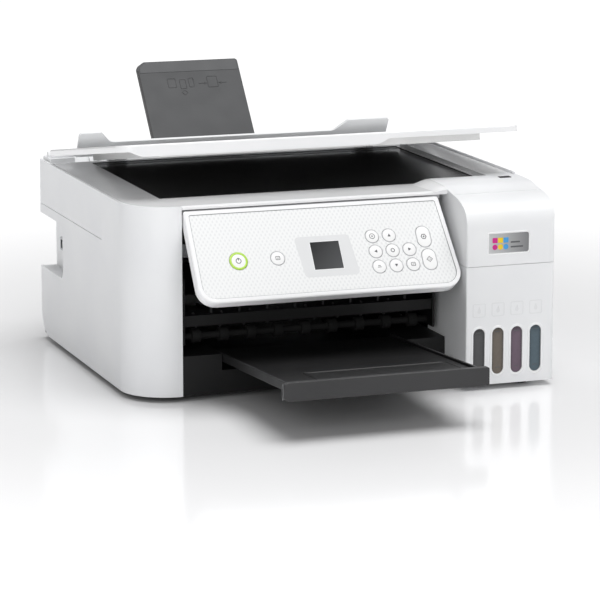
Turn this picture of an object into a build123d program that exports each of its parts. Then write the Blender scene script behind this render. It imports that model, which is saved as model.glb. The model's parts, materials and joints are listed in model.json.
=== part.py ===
from build123d import *
from math import cos, radians, sin, tan
import os

# All-in-one ink-tank printer, in millimetres, +Z up, front towards -Y.
# Heights are above the table. Depths are given from the middle of the case and
# moved back by FOOTPRINT_SHIFT, so the origin is under the middle of everything
# with the output tray out.

# ---- case ----
CASE_WIDTH = 375.0
CASE_FRONT = -173.5
CASE_REAR = 173.5
CHEEK_FRONT = -128.0
FOOT_HEIGHT = 5.0
WALL = 2.5
RIM_Z = 172.0
RIGHT_RIM_Z = 178.0
CORNER_R = 41.0
SIDE_SEAM_Z = 129.6
SIDE_SEAM_Y = -32.3
SEAM_GAP = 0.4
MOVE_GAP = 0.5
PIN_GAP = 0.05
FOOTPRINT_SHIFT = 36.0

# ---- front opening ----
OPENING_LEFT = -143.3
OPENING_RIGHT = 102.7
OPENING_MIDDLE = (OPENING_LEFT + OPENING_RIGHT) / 2

# ---- ink tanks ----
TANK_SEAM_Z = 110.8
TANK_REAR = -84.0
TANK_PITCH = 18.0
TANK_FIRST_X = 115.0
TANK_WIDTH = 17.0
TANK_DEPTH = 70.0
TANK_TOP = 90.0
TANK_BOTTOM = 9.0
SLOT_WIDTH = 11.0
SLOT_BOTTOM = 13.8
SLOT_TOP = 55.6
SLOT_GAP = 0.15
NECK_R = 5.0
CAP_R = 7.0
CAP_GAP = 0.6
CAP_WALL = 1.2
TANK_COLOURS = ("black", "yellow", "magenta", "cyan")

# ---- scanner ----
SCAN_REAR = 139.5
SCAN_BOTTOM = 150.0
SCAN_AXIS = (140.0, 158.0)
SCAN_PIN_R = 3.0
SCAN_EAR_R = 6.0
SCAN_EAR_X = 163.0
SCAN_EAR_WIDTH = 6.0
BRACKET_GAP = 0.4
BRACKET_WIDTH = 4.0
BRACKET_R = 5.0
BAND_DROP = 1.0
LIP_BOTTOM = 169.2
GLASS_LEFT = -148.8
GLASS_RIGHT = 156.0
GLASS_FRONT = -82.0
GLASS_REAR = 131.0
GLASS_THICKNESS = 3.0
GLASS_SINK = 0.6
GLASS_LEDGE = 3.0
GLASS_GAP = 0.1
SCAN_BAR_WIDTH = 24.0
SCAN_BAR_HEIGHT = 11.0
COVER_SWING_GAP = 0.9

# ---- lid ----
LID_AXIS = (135.0, 175.7)
LID_OPEN = 9.1
LID_TOP = 185.5
LID_PLATE = 6.0
LID_LENGTH = 229.3
LID_TAIL = 1.5
LID_NOTCH = 3.2
LID_NOTCH_FRONT = -16.0
LID_SKIN = 2.2
LID_RIB = 3.0
LID_LIP = 10.7
LID_LIP_LEFT = -166.0
LID_LIP_RIGHT = 50.0
LID_CORNER_R = 14.0
LID_PIN_R = 1.8
LID_BARREL_R = 3.3
LID_BARREL_X = 120.0
LID_BARREL_WIDTH = 12.0
LID_LUG_WIDTH = 6.0
MAT_THICKNESS = 6.0
MAT_FRONT_GAP = 1.5

# ---- control panel ----
PANEL_TILT = 34.0
PANEL_TOP = (-128.5, 168.2)
PANEL_LENGTH = 87.0
PANEL_LEFT = -142.3
PANEL_RIGHT_TOP = 93.0
PANEL_RIGHT_LOW = 100.4
PANEL_DEPTH = 9.5
PANEL_CORNER_R = 16.0
PANEL_SKIN = 2.2
FASCIA_INSET = 4.0
FASCIA_THICKNESS = 2.0
FASCIA_SINK = 0.5
PANEL_AXIS_DOWN = 7.0
PANEL_AXIS_DEEP = 7.0
PANEL_PIN_R = 2.0
PANEL_BOSS_R = 3.9
LCD_X = -21.0
LCD_DOWN = 49.3
LCD_WIDTH = 26.6
LCD_HEIGHT = 26.0
BUTTON_RISE = 0.5
BUTTON_THICKNESS = 3.0
BUTTON_GAP = 0.25
BUTTON_TRAVEL = 0.8
KEY_R = 6.3
POWER_R = 8.3
NETWORK_R = 6.5
OVAL_WIDTH = 13.4
OVAL_HEIGHT = 20.4
BUTTONS = {
    "power_button": (-101.6, 49.4, "power"),
    "network_button": (-66.0, 49.2, "network"),
    "help_button": (23.8, 34.5, "key"),
    "up_button": (39.6, 34.5, "key"),
    "left_button": (24.3, 48.9, "key"),
    "ok_button": (40.1, 48.9, "key"),
    "right_button": (55.9, 48.9, "key"),
    "back_button": (24.8, 63.3, "key"),
    "down_button": (40.6, 63.3, "key"),
    "options_button": (56.4, 63.3, "key"),
    "stop_button": (71.4, 37.9, "oval"),
    "start_button": (72.4, 59.6, "oval"),
}

# ---- output tray ----
TRAY_SLOPE = 3.45
TRAY_FRONT = -300.0
TRAY_TOP = 50.3
TRAY_WIDTH = 172.4
TRAY_LENGTH = 212.0
TRAY_RIM = 7.0
TRAY_RIM_WALL = 2.2
TRAY_FLOOR = 2.5
BAR_WIDTH = 182.2
BAR_HEIGHT = 15.5
BAR_RISE = 1.2
BAR_DEPTH = 6.0
EXTENSION_WIDTH = 160.0
EXTENSION_LENGTH = 150.0
EXTENSION_THICKNESS = 3.0
FLAP_LEFT = -73.0
FLAP_RIGHT = 55.0
FLAP_LENGTH = 52.0
FLAP_THICKNESS = 2.0
FLAP_PIN_R = 1.2
BLOCK_TOP = 40.0
BLOCK_WALL = 2.5
BASE_FRONT = -126.0
BASE_FLOOR = 4.0
GUIDE_REAR = 95.0
RAMP_HOLLOW_REAR = 60.0

# ---- rear paper feed ----
FEED_LEAN = 39.0
FEED_POINT = (165.0, 177.0)
SUPPORT_LEFT = -77.0
SUPPORT_RIGHT = 26.0
SUPPORT_TOP = 95.94
SUPPORT_TAIL = 25.0
SUPPORT_THICKNESS = 3.4
SUPPORT_CHAMFER = 8.0
POCKET_DEPTH = 60.0
POCKET_GAP = 0.4
DECK_FRONT = 147.0
DECK_TOP = 175.0
FEED_LEFT = -160.4
FEED_RIGHT = 156.4
GUARD_AXIS = (155.0, 177.0)
GUARD_LEAN = 30.0
GUARD_LEFT = -157.0
GUARD_RIGHT = 153.0
GUARD_BARREL_R = 3.0
GUARD_PIN_R = 2.0
GUARD_THICKNESS = 2.4
GUARD_BAND = 13.0
GUARD_EAR = 25.0
GUIDE_LEFT_X = -133.0
GUIDE_RIGHT_X = 82.0
GUIDE_WIDTH = 9.0
GUIDE_HEIGHT = 4.0
GUIDE_LOW = -23.0

# ---- mechanism ----
STAND_WIDTH = 12.0
FRAME_LEFT = -138.5
FRAME_RIGHT = 97.0
FRAME_PLATE = 2.0
FRAME_FRONT = -114.0
FRAME_REAR = 128.0
FRAME_TOP = 146.0
FRAME_BOTTOM = 47.0
FEED_ROLLER = (111.0, 130.0)
FEED_ROLLER_R = 12.0
EXIT_ROLLER = (-98.0, 51.6)
EXIT_ROLLER_R = 6.0
SHAFT_R = 3.0
RAIL_Y = 30.0
RAIL_Z = 96.0
RAIL_HEIGHT = 20.0
RAIL_THICKNESS = 3.0
CARRIAGE_WIDTH = 62.0
CARRIAGE_X = 62.0
PLATEN_Z = 60.0
SCREW_R = 2.6

HALF_WIDTH = CASE_WIDTH / 2
PANEL_SINE, PANEL_COSINE = sin(radians(PANEL_TILT)), cos(radians(PANEL_TILT))
BLOCK_INNER = TRAY_WIDTH / 2 + MOVE_GAP


def level(z):
    """A level plane: x across, y towards the rear."""
    return Plane(origin=(0, FOOTPRINT_SHIFT, z), x_dir=(1, 0, 0), z_dir=(0, 0, 1))


def side(x):
    """An upright plane across the case: x towards the rear, y up, thickness to the right."""
    return Plane(origin=(x, FOOTPRINT_SHIFT, 0), x_dir=(0, 1, 0), z_dir=(1, 0, 0))


def front(y):
    """An upright plane facing the front: x across, y up, thickness to the front."""
    return Plane(origin=(0, FOOTPRINT_SHIFT + y, 0), x_dir=(1, 0, 0), z_dir=(0, -1, 0))


def sloped(point, lean, facing):
    """A leaning plane through a (depth, height) point: x across, y up the slope."""
    normal = (0, -cos(radians(lean)), facing * sin(radians(lean)))
    return Plane(origin=(0, FOOTPRINT_SHIFT + point[0], point[1]), x_dir=(1, 0, 0), z_dir=normal)


def prism(plane, points, thickness, radii=0, mode=Mode.ADD):
    """A straight-sided solid on a plane, with rounded corners where radii are given."""
    with BuildSketch(plane) as outline:
        with BuildLine():
            FilletPolyline(*points, radius=radii, close=True)
        make_face()
    extrude(outline.sketch, amount=thickness, mode=mode)


def box_points(low, high):
    """The four corners of a rectangle."""
    return [(low[0], low[1]), (high[0], low[1]), (high[0], high[1]), (low[0], high[1])]


def slab(plane, x, y, z, mode=Mode.ADD):
    """A box between two limits on each axis of a plane."""
    with BuildSketch(plane.offset(z[0])) as outline:
        with Locations(((x[0] + x[1]) / 2, (y[0] + y[1]) / 2)):
            Rectangle(x[1] - x[0], y[1] - y[0])
    extrude(outline.sketch, amount=z[1] - z[0], mode=mode)


def block(x, y, z, mode=Mode.ADD):
    """A box between two limits across, in depth and in height."""
    slab(level(0), x, y, z, mode)


def rod(x, centre, radius, mode=Mode.ADD):
    """A round bar across the case between two x limits."""
    with BuildSketch(side(x[0])) as outline:
        with Locations(centre):
            Circle(radius)
    extrude(outline.sketch, amount=x[1] - x[0], mode=mode)


def post(x, y, z, radius, mode=Mode.ADD):
    """An upright round bar between two heights."""
    with BuildSketch(level(z[0])) as outline:
        with Locations((x, y)):
            Circle(radius)
    extrude(outline.sketch, amount=z[1] - z[0], mode=mode)


# ---- lower case ----
CHEEK_INNER_R = CORNER_R - WALL
with BuildPart() as base_frame:
    prism(
        level(FOOT_HEIGHT),
        [
            (-HALF_WIDTH + WALL, CHEEK_FRONT + WALL),
            (OPENING_LEFT - WALL, CHEEK_FRONT + WALL),
            (OPENING_LEFT - WALL, BASE_FRONT),
            (OPENING_RIGHT - SEAM_GAP, BASE_FRONT),
            (OPENING_RIGHT - SEAM_GAP, TANK_REAR),
            (HALF_WIDTH - WALL, TANK_REAR),
            (HALF_WIDTH - WALL, CASE_REAR - WALL),
            (-HALF_WIDTH + WALL, CASE_REAR - WALL),
        ],
        BASE_FLOOR,
        [CHEEK_INNER_R, 0, 0, 0, 0, 0, 0, 0],
    )
    for edge, inner in (
        (OPENING_LEFT + MOVE_GAP, OPENING_MIDDLE - BLOCK_INNER),
        (OPENING_RIGHT - MOVE_GAP, OPENING_MIDDLE + BLOCK_INNER),
    ):
        low, high = min(edge, inner), max(edge, inner)
        block((low, high), (BASE_FRONT, GUIDE_REAR), (FOOT_HEIGHT + 1, BLOCK_TOP))
        block(
            (low + BLOCK_WALL, high - BLOCK_WALL),
            (BASE_FRONT + BLOCK_WALL, GUIDE_REAR - BLOCK_WALL),
            (FOOT_HEIGHT - 1, BLOCK_TOP - BLOCK_WALL),
            Mode.SUBTRACT,
        )
    TRAY_UNDER = BAR_HEIGHT - BAR_RISE
    RAMP_FRONT_Z = TRAY_TOP - (BASE_FRONT - TRAY_FRONT) * tan(radians(TRAY_SLOPE)) - TRAY_UNDER
    RAMP_REAR_Z = TRAY_TOP - (GUIDE_REAR - TRAY_FRONT) * tan(radians(TRAY_SLOPE)) - TRAY_UNDER
    prism(
        side(OPENING_MIDDLE - BLOCK_INNER - 1),
        [
            (BASE_FRONT, FOOT_HEIGHT + 1),
            (GUIDE_REAR + 1, FOOT_HEIGHT + 1),
            (GUIDE_REAR + 1, RAMP_REAR_Z),
            (BASE_FRONT, RAMP_FRONT_Z),
        ],
        2 * BLOCK_INNER + 2,
    )
    prism(
        side(OPENING_MIDDLE - BLOCK_INNER + BLOCK_WALL),
        [
            (BASE_FRONT + BLOCK_WALL, FOOT_HEIGHT - 1),
            (RAMP_HOLLOW_REAR, FOOT_HEIGHT - 1),
            (BASE_FRONT + BLOCK_WALL, RAMP_FRONT_Z - BLOCK_WALL),
        ],
        2 * BLOCK_INNER - 2 * BLOCK_WALL,
        0,
        Mode.SUBTRACT,
    )
    for x in (FRAME_LEFT - 4.0, FRAME_RIGHT - STAND_WIDTH + 4.0):
        block(
            (x, x + STAND_WIDTH),
            (GUIDE_REAR + BLOCK_WALL + 1, GUIDE_REAR + BLOCK_WALL + 21),
            (FOOT_HEIGHT + 1, FRAME_BOTTOM),
        )
base_frame.part.label = "base_frame"

RECESS_Y = 97.0
RECESS_BOTTOM = 70.0
RECESS_TOP = 121.0
RECESS_DEPTH = 14.5
RECESS_SKIN = 2.0
RECESS_R = 7.0
BACK_CORNER_R = 25.0
with BuildPart() as left_side_cover:
    prism(
        level(FOOT_HEIGHT),
        [
            (OPENING_LEFT, CHEEK_FRONT),
            (-HALF_WIDTH, CHEEK_FRONT),
            (-HALF_WIDTH, CASE_REAR),
            (-HALF_WIDTH + WALL, CASE_REAR),
            (-HALF_WIDTH + WALL, CHEEK_FRONT + WALL),
            (OPENING_LEFT - WALL, CHEEK_FRONT + WALL),
            (OPENING_LEFT - WALL, SIDE_SEAM_Y),
            (OPENING_LEFT, SIDE_SEAM_Y),
        ],
        RIM_Z - FOOT_HEIGHT,
        [0, CORNER_R, 0, 0, CHEEK_INNER_R, 0, 0, 0],
    )
    block(
        (-HALF_WIDTH - 1, -HALF_WIDTH + WALL + 1),
        (SIDE_SEAM_Y, CASE_REAR + 1),
        (SIDE_SEAM_Z, RIM_Z + 1),
        Mode.SUBTRACT,
    )
    for limits in ((SCAN_BOTTOM - 1.5, RIM_Z + 1), (FOOT_HEIGHT - 1, FOOT_HEIGHT + BASE_FLOOR)):
        block(
            (OPENING_LEFT - WALL, OPENING_LEFT + 1),
            (CHEEK_FRONT + WALL, SIDE_SEAM_Y + 1),
            limits,
            Mode.SUBTRACT,
        )
    block(
        (OPENING_LEFT - WALL, OPENING_LEFT + 1),
        (BASE_FRONT, CHEEK_FRONT + WALL),
        (FOOT_HEIGHT - 1, FOOT_HEIGHT + BASE_FLOOR),
        Mode.SUBTRACT,
    )
    prism(
        side(-HALF_WIDTH - 1),
        [
            (RECESS_Y, RECESS_BOTTOM),
            (CASE_REAR + 1, RECESS_BOTTOM),
            (CASE_REAR + 1, RECESS_TOP),
            (RECESS_Y, RECESS_TOP),
        ],
        WALL + 2,
        [RECESS_R, 0, 0, RECESS_R],
        Mode.SUBTRACT,
    )
    prism(
        side(-HALF_WIDTH + WALL),
        [
            (RECESS_Y - RECESS_SKIN, RECESS_BOTTOM - RECESS_SKIN),
            (CASE_REAR - WALL, RECESS_BOTTOM - RECESS_SKIN),
            (CASE_REAR - WALL, RECESS_TOP + RECESS_SKIN),
            (RECESS_Y - RECESS_SKIN, RECESS_TOP + RECESS_SKIN),
        ],
        RECESS_DEPTH - WALL + RECESS_SKIN,
        [RECESS_R + RECESS_SKIN, 0, 0, RECESS_R + RECESS_SKIN],
    )
    prism(
        side(-HALF_WIDTH + WALL - 0.01),
        [
            (RECESS_Y, RECESS_BOTTOM),
            (CASE_REAR + 1, RECESS_BOTTOM),
            (CASE_REAR + 1, RECESS_TOP),
            (RECESS_Y, RECESS_TOP),
        ],
        RECESS_DEPTH - WALL + 0.01,
        [RECESS_R, 0, 0, RECESS_R],
        Mode.SUBTRACT,
    )
    with BuildSketch(side(-HALF_WIDTH - 1)) as corner:
        with BuildLine():
            Polyline(
                (CASE_REAR + 1, FOOT_HEIGHT - 1),
                (CASE_REAR + 1, FOOT_HEIGHT + BACK_CORNER_R),
                (CASE_REAR, FOOT_HEIGHT + BACK_CORNER_R),
            )
            RadiusArc(
                (CASE_REAR, FOOT_HEIGHT + BACK_CORNER_R),
                (CASE_REAR - BACK_CORNER_R, FOOT_HEIGHT),
                BACK_CORNER_R,
            )
            Polyline(
                (CASE_REAR - BACK_CORNER_R, FOOT_HEIGHT),
                (CASE_REAR - BACK_CORNER_R, FOOT_HEIGHT - 1),
                (CASE_REAR + 1, FOOT_HEIGHT - 1),
            )
        make_face()
    extrude(corner.sketch, amount=WALL + 1, mode=Mode.SUBTRACT)
left_side_cover.part.label = "left_side_cover"

with BuildPart() as upper_side_cover:
    block(
        (-HALF_WIDTH, -HALF_WIDTH + WALL),
        (SIDE_SEAM_Y + SEAM_GAP, CASE_REAR),
        (SIDE_SEAM_Z + SEAM_GAP, RIM_Z),
    )
upper_side_cover.part.label = "upper_side_cover"

with BuildPart() as right_side_cover:
    block(
        (HALF_WIDTH - WALL, HALF_WIDTH),
        (TANK_REAR + SEAM_GAP, CASE_REAR),
        (FOOT_HEIGHT, RIGHT_RIM_Z),
    )
    block(
        (HALF_WIDTH - WALL - 1, HALF_WIDTH + 1),
        (TANK_REAR, TANK_REAR + SEAM_GAP + COVER_SWING_GAP),
        (TANK_SEAM_Z, RIGHT_RIM_Z + 1),
        Mode.SUBTRACT,
    )
    TOP_EDGE = right_side_cover.edges().group_by(Axis.Z)[-1].sort_by(Axis.X)[-1]
    fillet(TOP_EDGE, WALL * 0.6)
right_side_cover.part.label = "right_side_cover"

VENT_COUNT = 9
VENT_PITCH = 9.0
VENT_WIDTH = 3.0
VENT_X = 60.0
VENT_Z = (60.0, 110.0)
INLET_X = 140.0
INLET_Z = 30.0
INLET_WIDTH = 27.0
INLET_HEIGHT = 20.0
REAR_TOP = 170.0
with BuildPart() as rear_cover:
    prism(
        front(CASE_REAR),
        [
            (-HALF_WIDTH + WALL, FOOT_HEIGHT),
            (HALF_WIDTH - WALL, FOOT_HEIGHT),
            (HALF_WIDTH - WALL, REAR_TOP),
            (-HALF_WIDTH + WALL, REAR_TOP),
            (-HALF_WIDTH + WALL, RECESS_TOP + RECESS_SKIN),
            (-HALF_WIDTH + RECESS_DEPTH + RECESS_SKIN, RECESS_TOP + RECESS_SKIN),
            (-HALF_WIDTH + RECESS_DEPTH + RECESS_SKIN, RECESS_BOTTOM - RECESS_SKIN),
            (-HALF_WIDTH + WALL, RECESS_BOTTOM - RECESS_SKIN),
        ],
        WALL,
    )
    block(
        (INLET_X - INLET_WIDTH / 2, INLET_X + INLET_WIDTH / 2),
        (CASE_REAR - WALL - 1, CASE_REAR + 1),
        (INLET_Z - INLET_HEIGHT / 2, INLET_Z + INLET_HEIGHT / 2),
        Mode.SUBTRACT,
    )
    for index in range(VENT_COUNT):
        vent = VENT_X + (index - (VENT_COUNT - 1) / 2) * VENT_PITCH
        block(
            (vent - VENT_WIDTH / 2, vent + VENT_WIDTH / 2),
            (CASE_REAR - WALL - 1, CASE_REAR + 1),
            VENT_Z,
            Mode.SUBTRACT,
        )
rear_cover.part.label = "rear_cover"

# ---- ink tank unit ----
TANK_FRONT_R = 5.0
SLOT_X = [TANK_FIRST_X + TANK_PITCH * index for index in range(len(TANK_COLOURS))]
with BuildPart() as tank_housing:
    prism(
        level(FOOT_HEIGHT),
        [
            (OPENING_RIGHT, CASE_FRONT),
            (HALF_WIDTH, CASE_FRONT),
            (HALF_WIDTH, TANK_REAR - SEAM_GAP),
            (OPENING_RIGHT, TANK_REAR - SEAM_GAP),
        ],
        TANK_SEAM_Z - FOOT_HEIGHT,
        [1.5, TANK_FRONT_R, 0, 0],
    )
    prism(
        level(FOOT_HEIGHT + WALL),
        [
            (OPENING_RIGHT + WALL, CASE_FRONT + WALL),
            (HALF_WIDTH - WALL, CASE_FRONT + WALL),
            (HALF_WIDTH - WALL, TANK_REAR - SEAM_GAP - WALL),
            (OPENING_RIGHT + WALL, TANK_REAR - SEAM_GAP - WALL),
        ],
        TANK_SEAM_Z,
        [0, TANK_FRONT_R - WALL, 0, 0],
        Mode.SUBTRACT,
    )
    for slot in SLOT_X:
        with BuildSketch(front(CASE_FRONT + WALL + 1)) as window:
            with Locations((slot, (SLOT_BOTTOM + SLOT_TOP) / 2)):
                SlotOverall(SLOT_TOP - SLOT_BOTTOM, SLOT_WIDTH, rotation=90)
        extrude(window.sketch, amount=WALL + 2, mode=Mode.SUBTRACT)
tank_housing.part.label = "tank_housing"

TANK_FRONT = CASE_FRONT + WALL + 0.2
NECK_Y = TANK_FRONT + 22.0
NECK_TOP = TANK_TOP + 6.0
NECK_WALL = 1.5
CAP_AXIS = (NECK_Y + CAP_R + 2.4, TANK_TOP + 2.4)
CAP_PIN_R = 1.2
CAP_BARREL_R = 2.0
CAP_LUG = 3.0


def ink_tank(middle):
    """One tank: a hollow block, its level window, a filler neck and the cap's hinge lugs."""
    half = TANK_WIDTH / 2
    block((middle - half, middle + half), (TANK_FRONT, TANK_FRONT + TANK_DEPTH), (TANK_BOTTOM, TANK_TOP))
    block(
        (middle - half + 1.5, middle + half - 1.5),
        (TANK_FRONT + 1.5, TANK_FRONT + TANK_DEPTH - 1.5),
        (TANK_BOTTOM + 1.5, TANK_TOP - 1.5),
        Mode.SUBTRACT,
    )
    with BuildSketch(front(TANK_FRONT)) as window:
        with Locations((middle, (SLOT_BOTTOM + SLOT_TOP) / 2)):
            SlotOverall(SLOT_TOP - SLOT_BOTTOM - 2 * SLOT_GAP, SLOT_WIDTH - 2 * SLOT_GAP, rotation=90)
    extrude(window.sketch, amount=WALL - 0.6)
    post(middle, NECK_Y, (TANK_TOP, NECK_TOP), NECK_R)
    post(middle, NECK_Y, (TANK_TOP - 2, NECK_TOP + 1), NECK_R - NECK_WALL, Mode.SUBTRACT)
    for direction in (-1, 1):
        inner = middle + direction * (CAP_LUG + 0.3)
        outer = inner + direction * 1.8
        limits = (min(inner, outer), max(inner, outer))
        block(limits, (CAP_AXIS[0] - 2.0, CAP_AXIS[0] + 2.0), (TANK_TOP, CAP_AXIS[1]))
        rod(limits, CAP_AXIS, CAP_BARREL_R)
        rod(limits, CAP_AXIS, CAP_PIN_R + PIN_GAP, Mode.SUBTRACT)


def tank_cap(middle):
    """A filler cap: a cup over the neck, with a barrel and two hinge stubs behind it."""
    top = NECK_TOP + 0.4 + CAP_WALL
    post(middle, NECK_Y, (CAP_AXIS[1], top), CAP_R)
    post(middle, NECK_Y, (CAP_AXIS[1] - 1, top - CAP_WALL), NECK_R + CAP_GAP, Mode.SUBTRACT)
    limits = (middle - CAP_LUG, middle + CAP_LUG)
    rod(limits, CAP_AXIS, CAP_BARREL_R)
    block(limits, (NECK_Y + NECK_R + 1.0, CAP_AXIS[0]), (CAP_AXIS[1] - 1.0, CAP_AXIS[1] + 1.0))
    reach = CAP_LUG + 0.3 + 1.8
    rod((middle - reach, middle + reach), CAP_AXIS, CAP_PIN_R)


ink_tanks = {}
tank_caps = {}
for colour, slot in zip(TANK_COLOURS, SLOT_X):
    with BuildPart() as tank:
        ink_tank(slot)
    tank.part.label = "ink_tank_" + colour
    ink_tanks[colour] = tank
    with BuildPart() as cap:
        tank_cap(slot)
    cap.part.label = "tank_cap_" + colour
    tank_caps[colour] = cap

# ---- scanner unit ----
SCAN_LEFT = -HALF_WIDTH + WALL + SEAM_GAP
SCAN_RIGHT = HALF_WIDTH - WALL - SEAM_GAP
SCAN_SIDE_FRONT = CHEEK_FRONT + WALL + 1.2
STRIP_LEFT = GLASS_RIGHT + 2.5
STRIP_Z = RIGHT_RIM_Z - 2.0
with BuildPart() as scanner_frame:
    prism(
        level(SCAN_BOTTOM),
        [
            (SCAN_LEFT, SCAN_SIDE_FRONT),
            (OPENING_RIGHT - SEAM_GAP, SCAN_SIDE_FRONT),
            (OPENING_RIGHT - SEAM_GAP, TANK_REAR + SEAM_GAP),
            (SCAN_RIGHT, TANK_REAR + SEAM_GAP),
            (SCAN_RIGHT, SCAN_REAR),
            (SCAN_LEFT, SCAN_REAR),
        ],
        RIM_Z - SCAN_BOTTOM,
        [CHEEK_INNER_R - 1.2, 0, 0, 0, 0, 0],
    )
    block(
        (SCAN_LEFT - 1, OPENING_RIGHT + 1),
        (SCAN_SIDE_FRONT - 1, GLASS_FRONT - 8),
        (SCAN_BOTTOM - 1, LIP_BOTTOM),
        Mode.SUBTRACT,
    )
    prism(
        side(OPENING_LEFT + SEAM_GAP),
        [
            (SCAN_SIDE_FRONT, LIP_BOTTOM),
            (SCAN_SIDE_FRONT, RIM_Z),
            (CHEEK_FRONT, RIM_Z - BAND_DROP),
            (CHEEK_FRONT, LIP_BOTTOM),
        ],
        OPENING_RIGHT - OPENING_LEFT - 2 * SEAM_GAP,
    )
    block((STRIP_LEFT, SCAN_RIGHT), (TANK_REAR + SEAM_GAP, GLASS_REAR - 4), (RIM_Z, STRIP_Z))
    CAVITY_TOP = RIM_Z - GLASS_SINK - GLASS_THICKNESS - 2.4
    block(
        (GLASS_LEFT - 6, GLASS_RIGHT + 6),
        (GLASS_FRONT - 4, GLASS_REAR + 4),
        (SCAN_BOTTOM + 2.0, CAVITY_TOP),
        Mode.SUBTRACT,
    )
    block(
        (GLASS_LEFT + GLASS_LEDGE, GLASS_RIGHT - GLASS_LEDGE),
        (GLASS_FRONT + GLASS_LEDGE, GLASS_REAR - GLASS_LEDGE),
        (CAVITY_TOP - 1, RIM_Z + 1),
        Mode.SUBTRACT,
    )
    block(
        (GLASS_LEFT, GLASS_RIGHT),
        (GLASS_FRONT, GLASS_REAR),
        (RIM_Z - GLASS_SINK - GLASS_THICKNESS, RIM_Z + 1),
        Mode.SUBTRACT,
    )
    for direction in (-1, 1):
        notch = SCAN_EAR_WIDTH / 2 + 2 * BRACKET_GAP + BRACKET_WIDTH
        middle = direction * SCAN_EAR_X
        rod((middle - notch, middle + notch), SCAN_AXIS, BRACKET_R + 0.6, Mode.SUBTRACT)
        ear = (middle - SCAN_EAR_WIDTH / 2, middle + SCAN_EAR_WIDTH / 2)
        rod(ear, SCAN_AXIS, SCAN_EAR_R)
        block(ear, (SCAN_AXIS[0] - 12, SCAN_AXIS[0]), (SCAN_AXIS[1] - SCAN_EAR_R, SCAN_AXIS[1]))
        rod(ear, SCAN_AXIS, SCAN_PIN_R + PIN_GAP, Mode.SUBTRACT)
        near = direction * (LID_BARREL_X + LID_BARREL_WIDTH / 2 + 0.3)
        far = near + direction * LID_LUG_WIDTH
        lug = (min(near, far), max(near, far))
        block(lug, (GLASS_REAR + 0.6, SCAN_REAR - 0.5), (RIM_Z, LID_AXIS[1]))
        rod(lug, LID_AXIS, LID_BARREL_R)
        rod(lug, LID_AXIS, LID_PIN_R + PIN_GAP, Mode.SUBTRACT)
scanner_frame.part.label = "scanner_frame"

with BuildPart() as scanner_glass:
    block(
        (GLASS_LEFT + GLASS_GAP, GLASS_RIGHT - GLASS_GAP),
        (GLASS_FRONT + GLASS_GAP, GLASS_REAR - GLASS_GAP),
        (RIM_Z - GLASS_SINK - GLASS_THICKNESS, RIM_Z - GLASS_SINK),
    )
scanner_glass.part.label = "scanner_glass"

BAR_X = -130.0
with BuildPart() as scan_bar:
    block(
        (BAR_X - SCAN_BAR_WIDTH / 2, BAR_X + SCAN_BAR_WIDTH / 2),
        (GLASS_FRONT + 2, GLASS_REAR - 2),
        (SCAN_BOTTOM + 2.4, SCAN_BOTTOM + 2.4 + SCAN_BAR_HEIGHT),
    )
    block(
        (BAR_X - 4, BAR_X + 4),
        (GLASS_FRONT + 8, GLASS_REAR - 8),
        (SCAN_BOTTOM + 2.4 + SCAN_BAR_HEIGHT - 1.5, SCAN_BOTTOM + 3.4 + SCAN_BAR_HEIGHT),
        Mode.SUBTRACT,
    )
scan_bar.part.label = "scan_bar"

BADGE = ((122.7, 121.2), (162.4, 140.3))
BADGE_DEPTH = 0.8
BADGE_THICKNESS = 0.5
COVER_PROFILE = [
    (CASE_FRONT + 0.9, 152.0),
    (CASE_FRONT + 4.5, 159.0),
    (CASE_FRONT + 13.0, 165.0),
    (CASE_FRONT + 28.0, 169.6),
    (CASE_FRONT + 55.0, 173.6),
]
with BuildPart() as tank_cover:
    with BuildSketch(side(OPENING_RIGHT)) as shape:
        with BuildLine():
            Polyline(
                (TANK_REAR - SEAM_GAP, STRIP_Z),
                (TANK_REAR - SEAM_GAP, TANK_SEAM_Z + SEAM_GAP),
                (CASE_FRONT, TANK_SEAM_Z + SEAM_GAP),
                (CASE_FRONT, 143.0),
            )
            Spline(
                (CASE_FRONT, 143.0),
                *COVER_PROFILE,
                (TANK_REAR - SEAM_GAP, STRIP_Z),
                tangents=[(0, 1), (1, 0.02)],
            )
        make_face()
    extrude(shape.sketch, amount=HALF_WIDTH - OPENING_RIGHT)
    prism(
        level(TANK_SEAM_Z),
        [
            (OPENING_RIGHT, CASE_FRONT),
            (HALF_WIDTH, CASE_FRONT),
            (HALF_WIDTH, TANK_REAR),
            (OPENING_RIGHT, TANK_REAR),
        ],
        RIGHT_RIM_Z,
        [1.5, TANK_FRONT_R, 0, 0],
        Mode.INTERSECT,
    )
    prism(
        side(OPENING_RIGHT + WALL),
        [
            (TANK_REAR - SEAM_GAP - WALL, STRIP_Z - 7),
            (TANK_REAR - SEAM_GAP - WALL, TANK_SEAM_Z - 1),
            (CASE_FRONT + WALL, TANK_SEAM_Z - 1),
            (CASE_FRONT + WALL, 143.0),
            (CASE_FRONT + 9.0, 156.0),
            (CASE_FRONT + 30.0, 165.5),
        ],
        HALF_WIDTH - OPENING_RIGHT - 2 * WALL,
        [0, 0, 0, 6, 8, 10],
        Mode.SUBTRACT,
    )
    block(
        (BADGE[0][0], BADGE[1][0]),
        (CASE_FRONT - 1, CASE_FRONT + BADGE_DEPTH),
        (BADGE[0][1], BADGE[1][1]),
        Mode.SUBTRACT,
    )
tank_cover.part.label = "tank_cover"

with BuildPart() as tank_badge:
    block(
        (BADGE[0][0] + 0.3, BADGE[1][0] - 0.3),
        (CASE_FRONT + BADGE_DEPTH - BADGE_THICKNESS, CASE_FRONT + BADGE_DEPTH),
        (BADGE[0][1] + 0.3, BADGE[1][1] - 0.3),
    )
tank_badge.part.label = "tank_badge"

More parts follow.
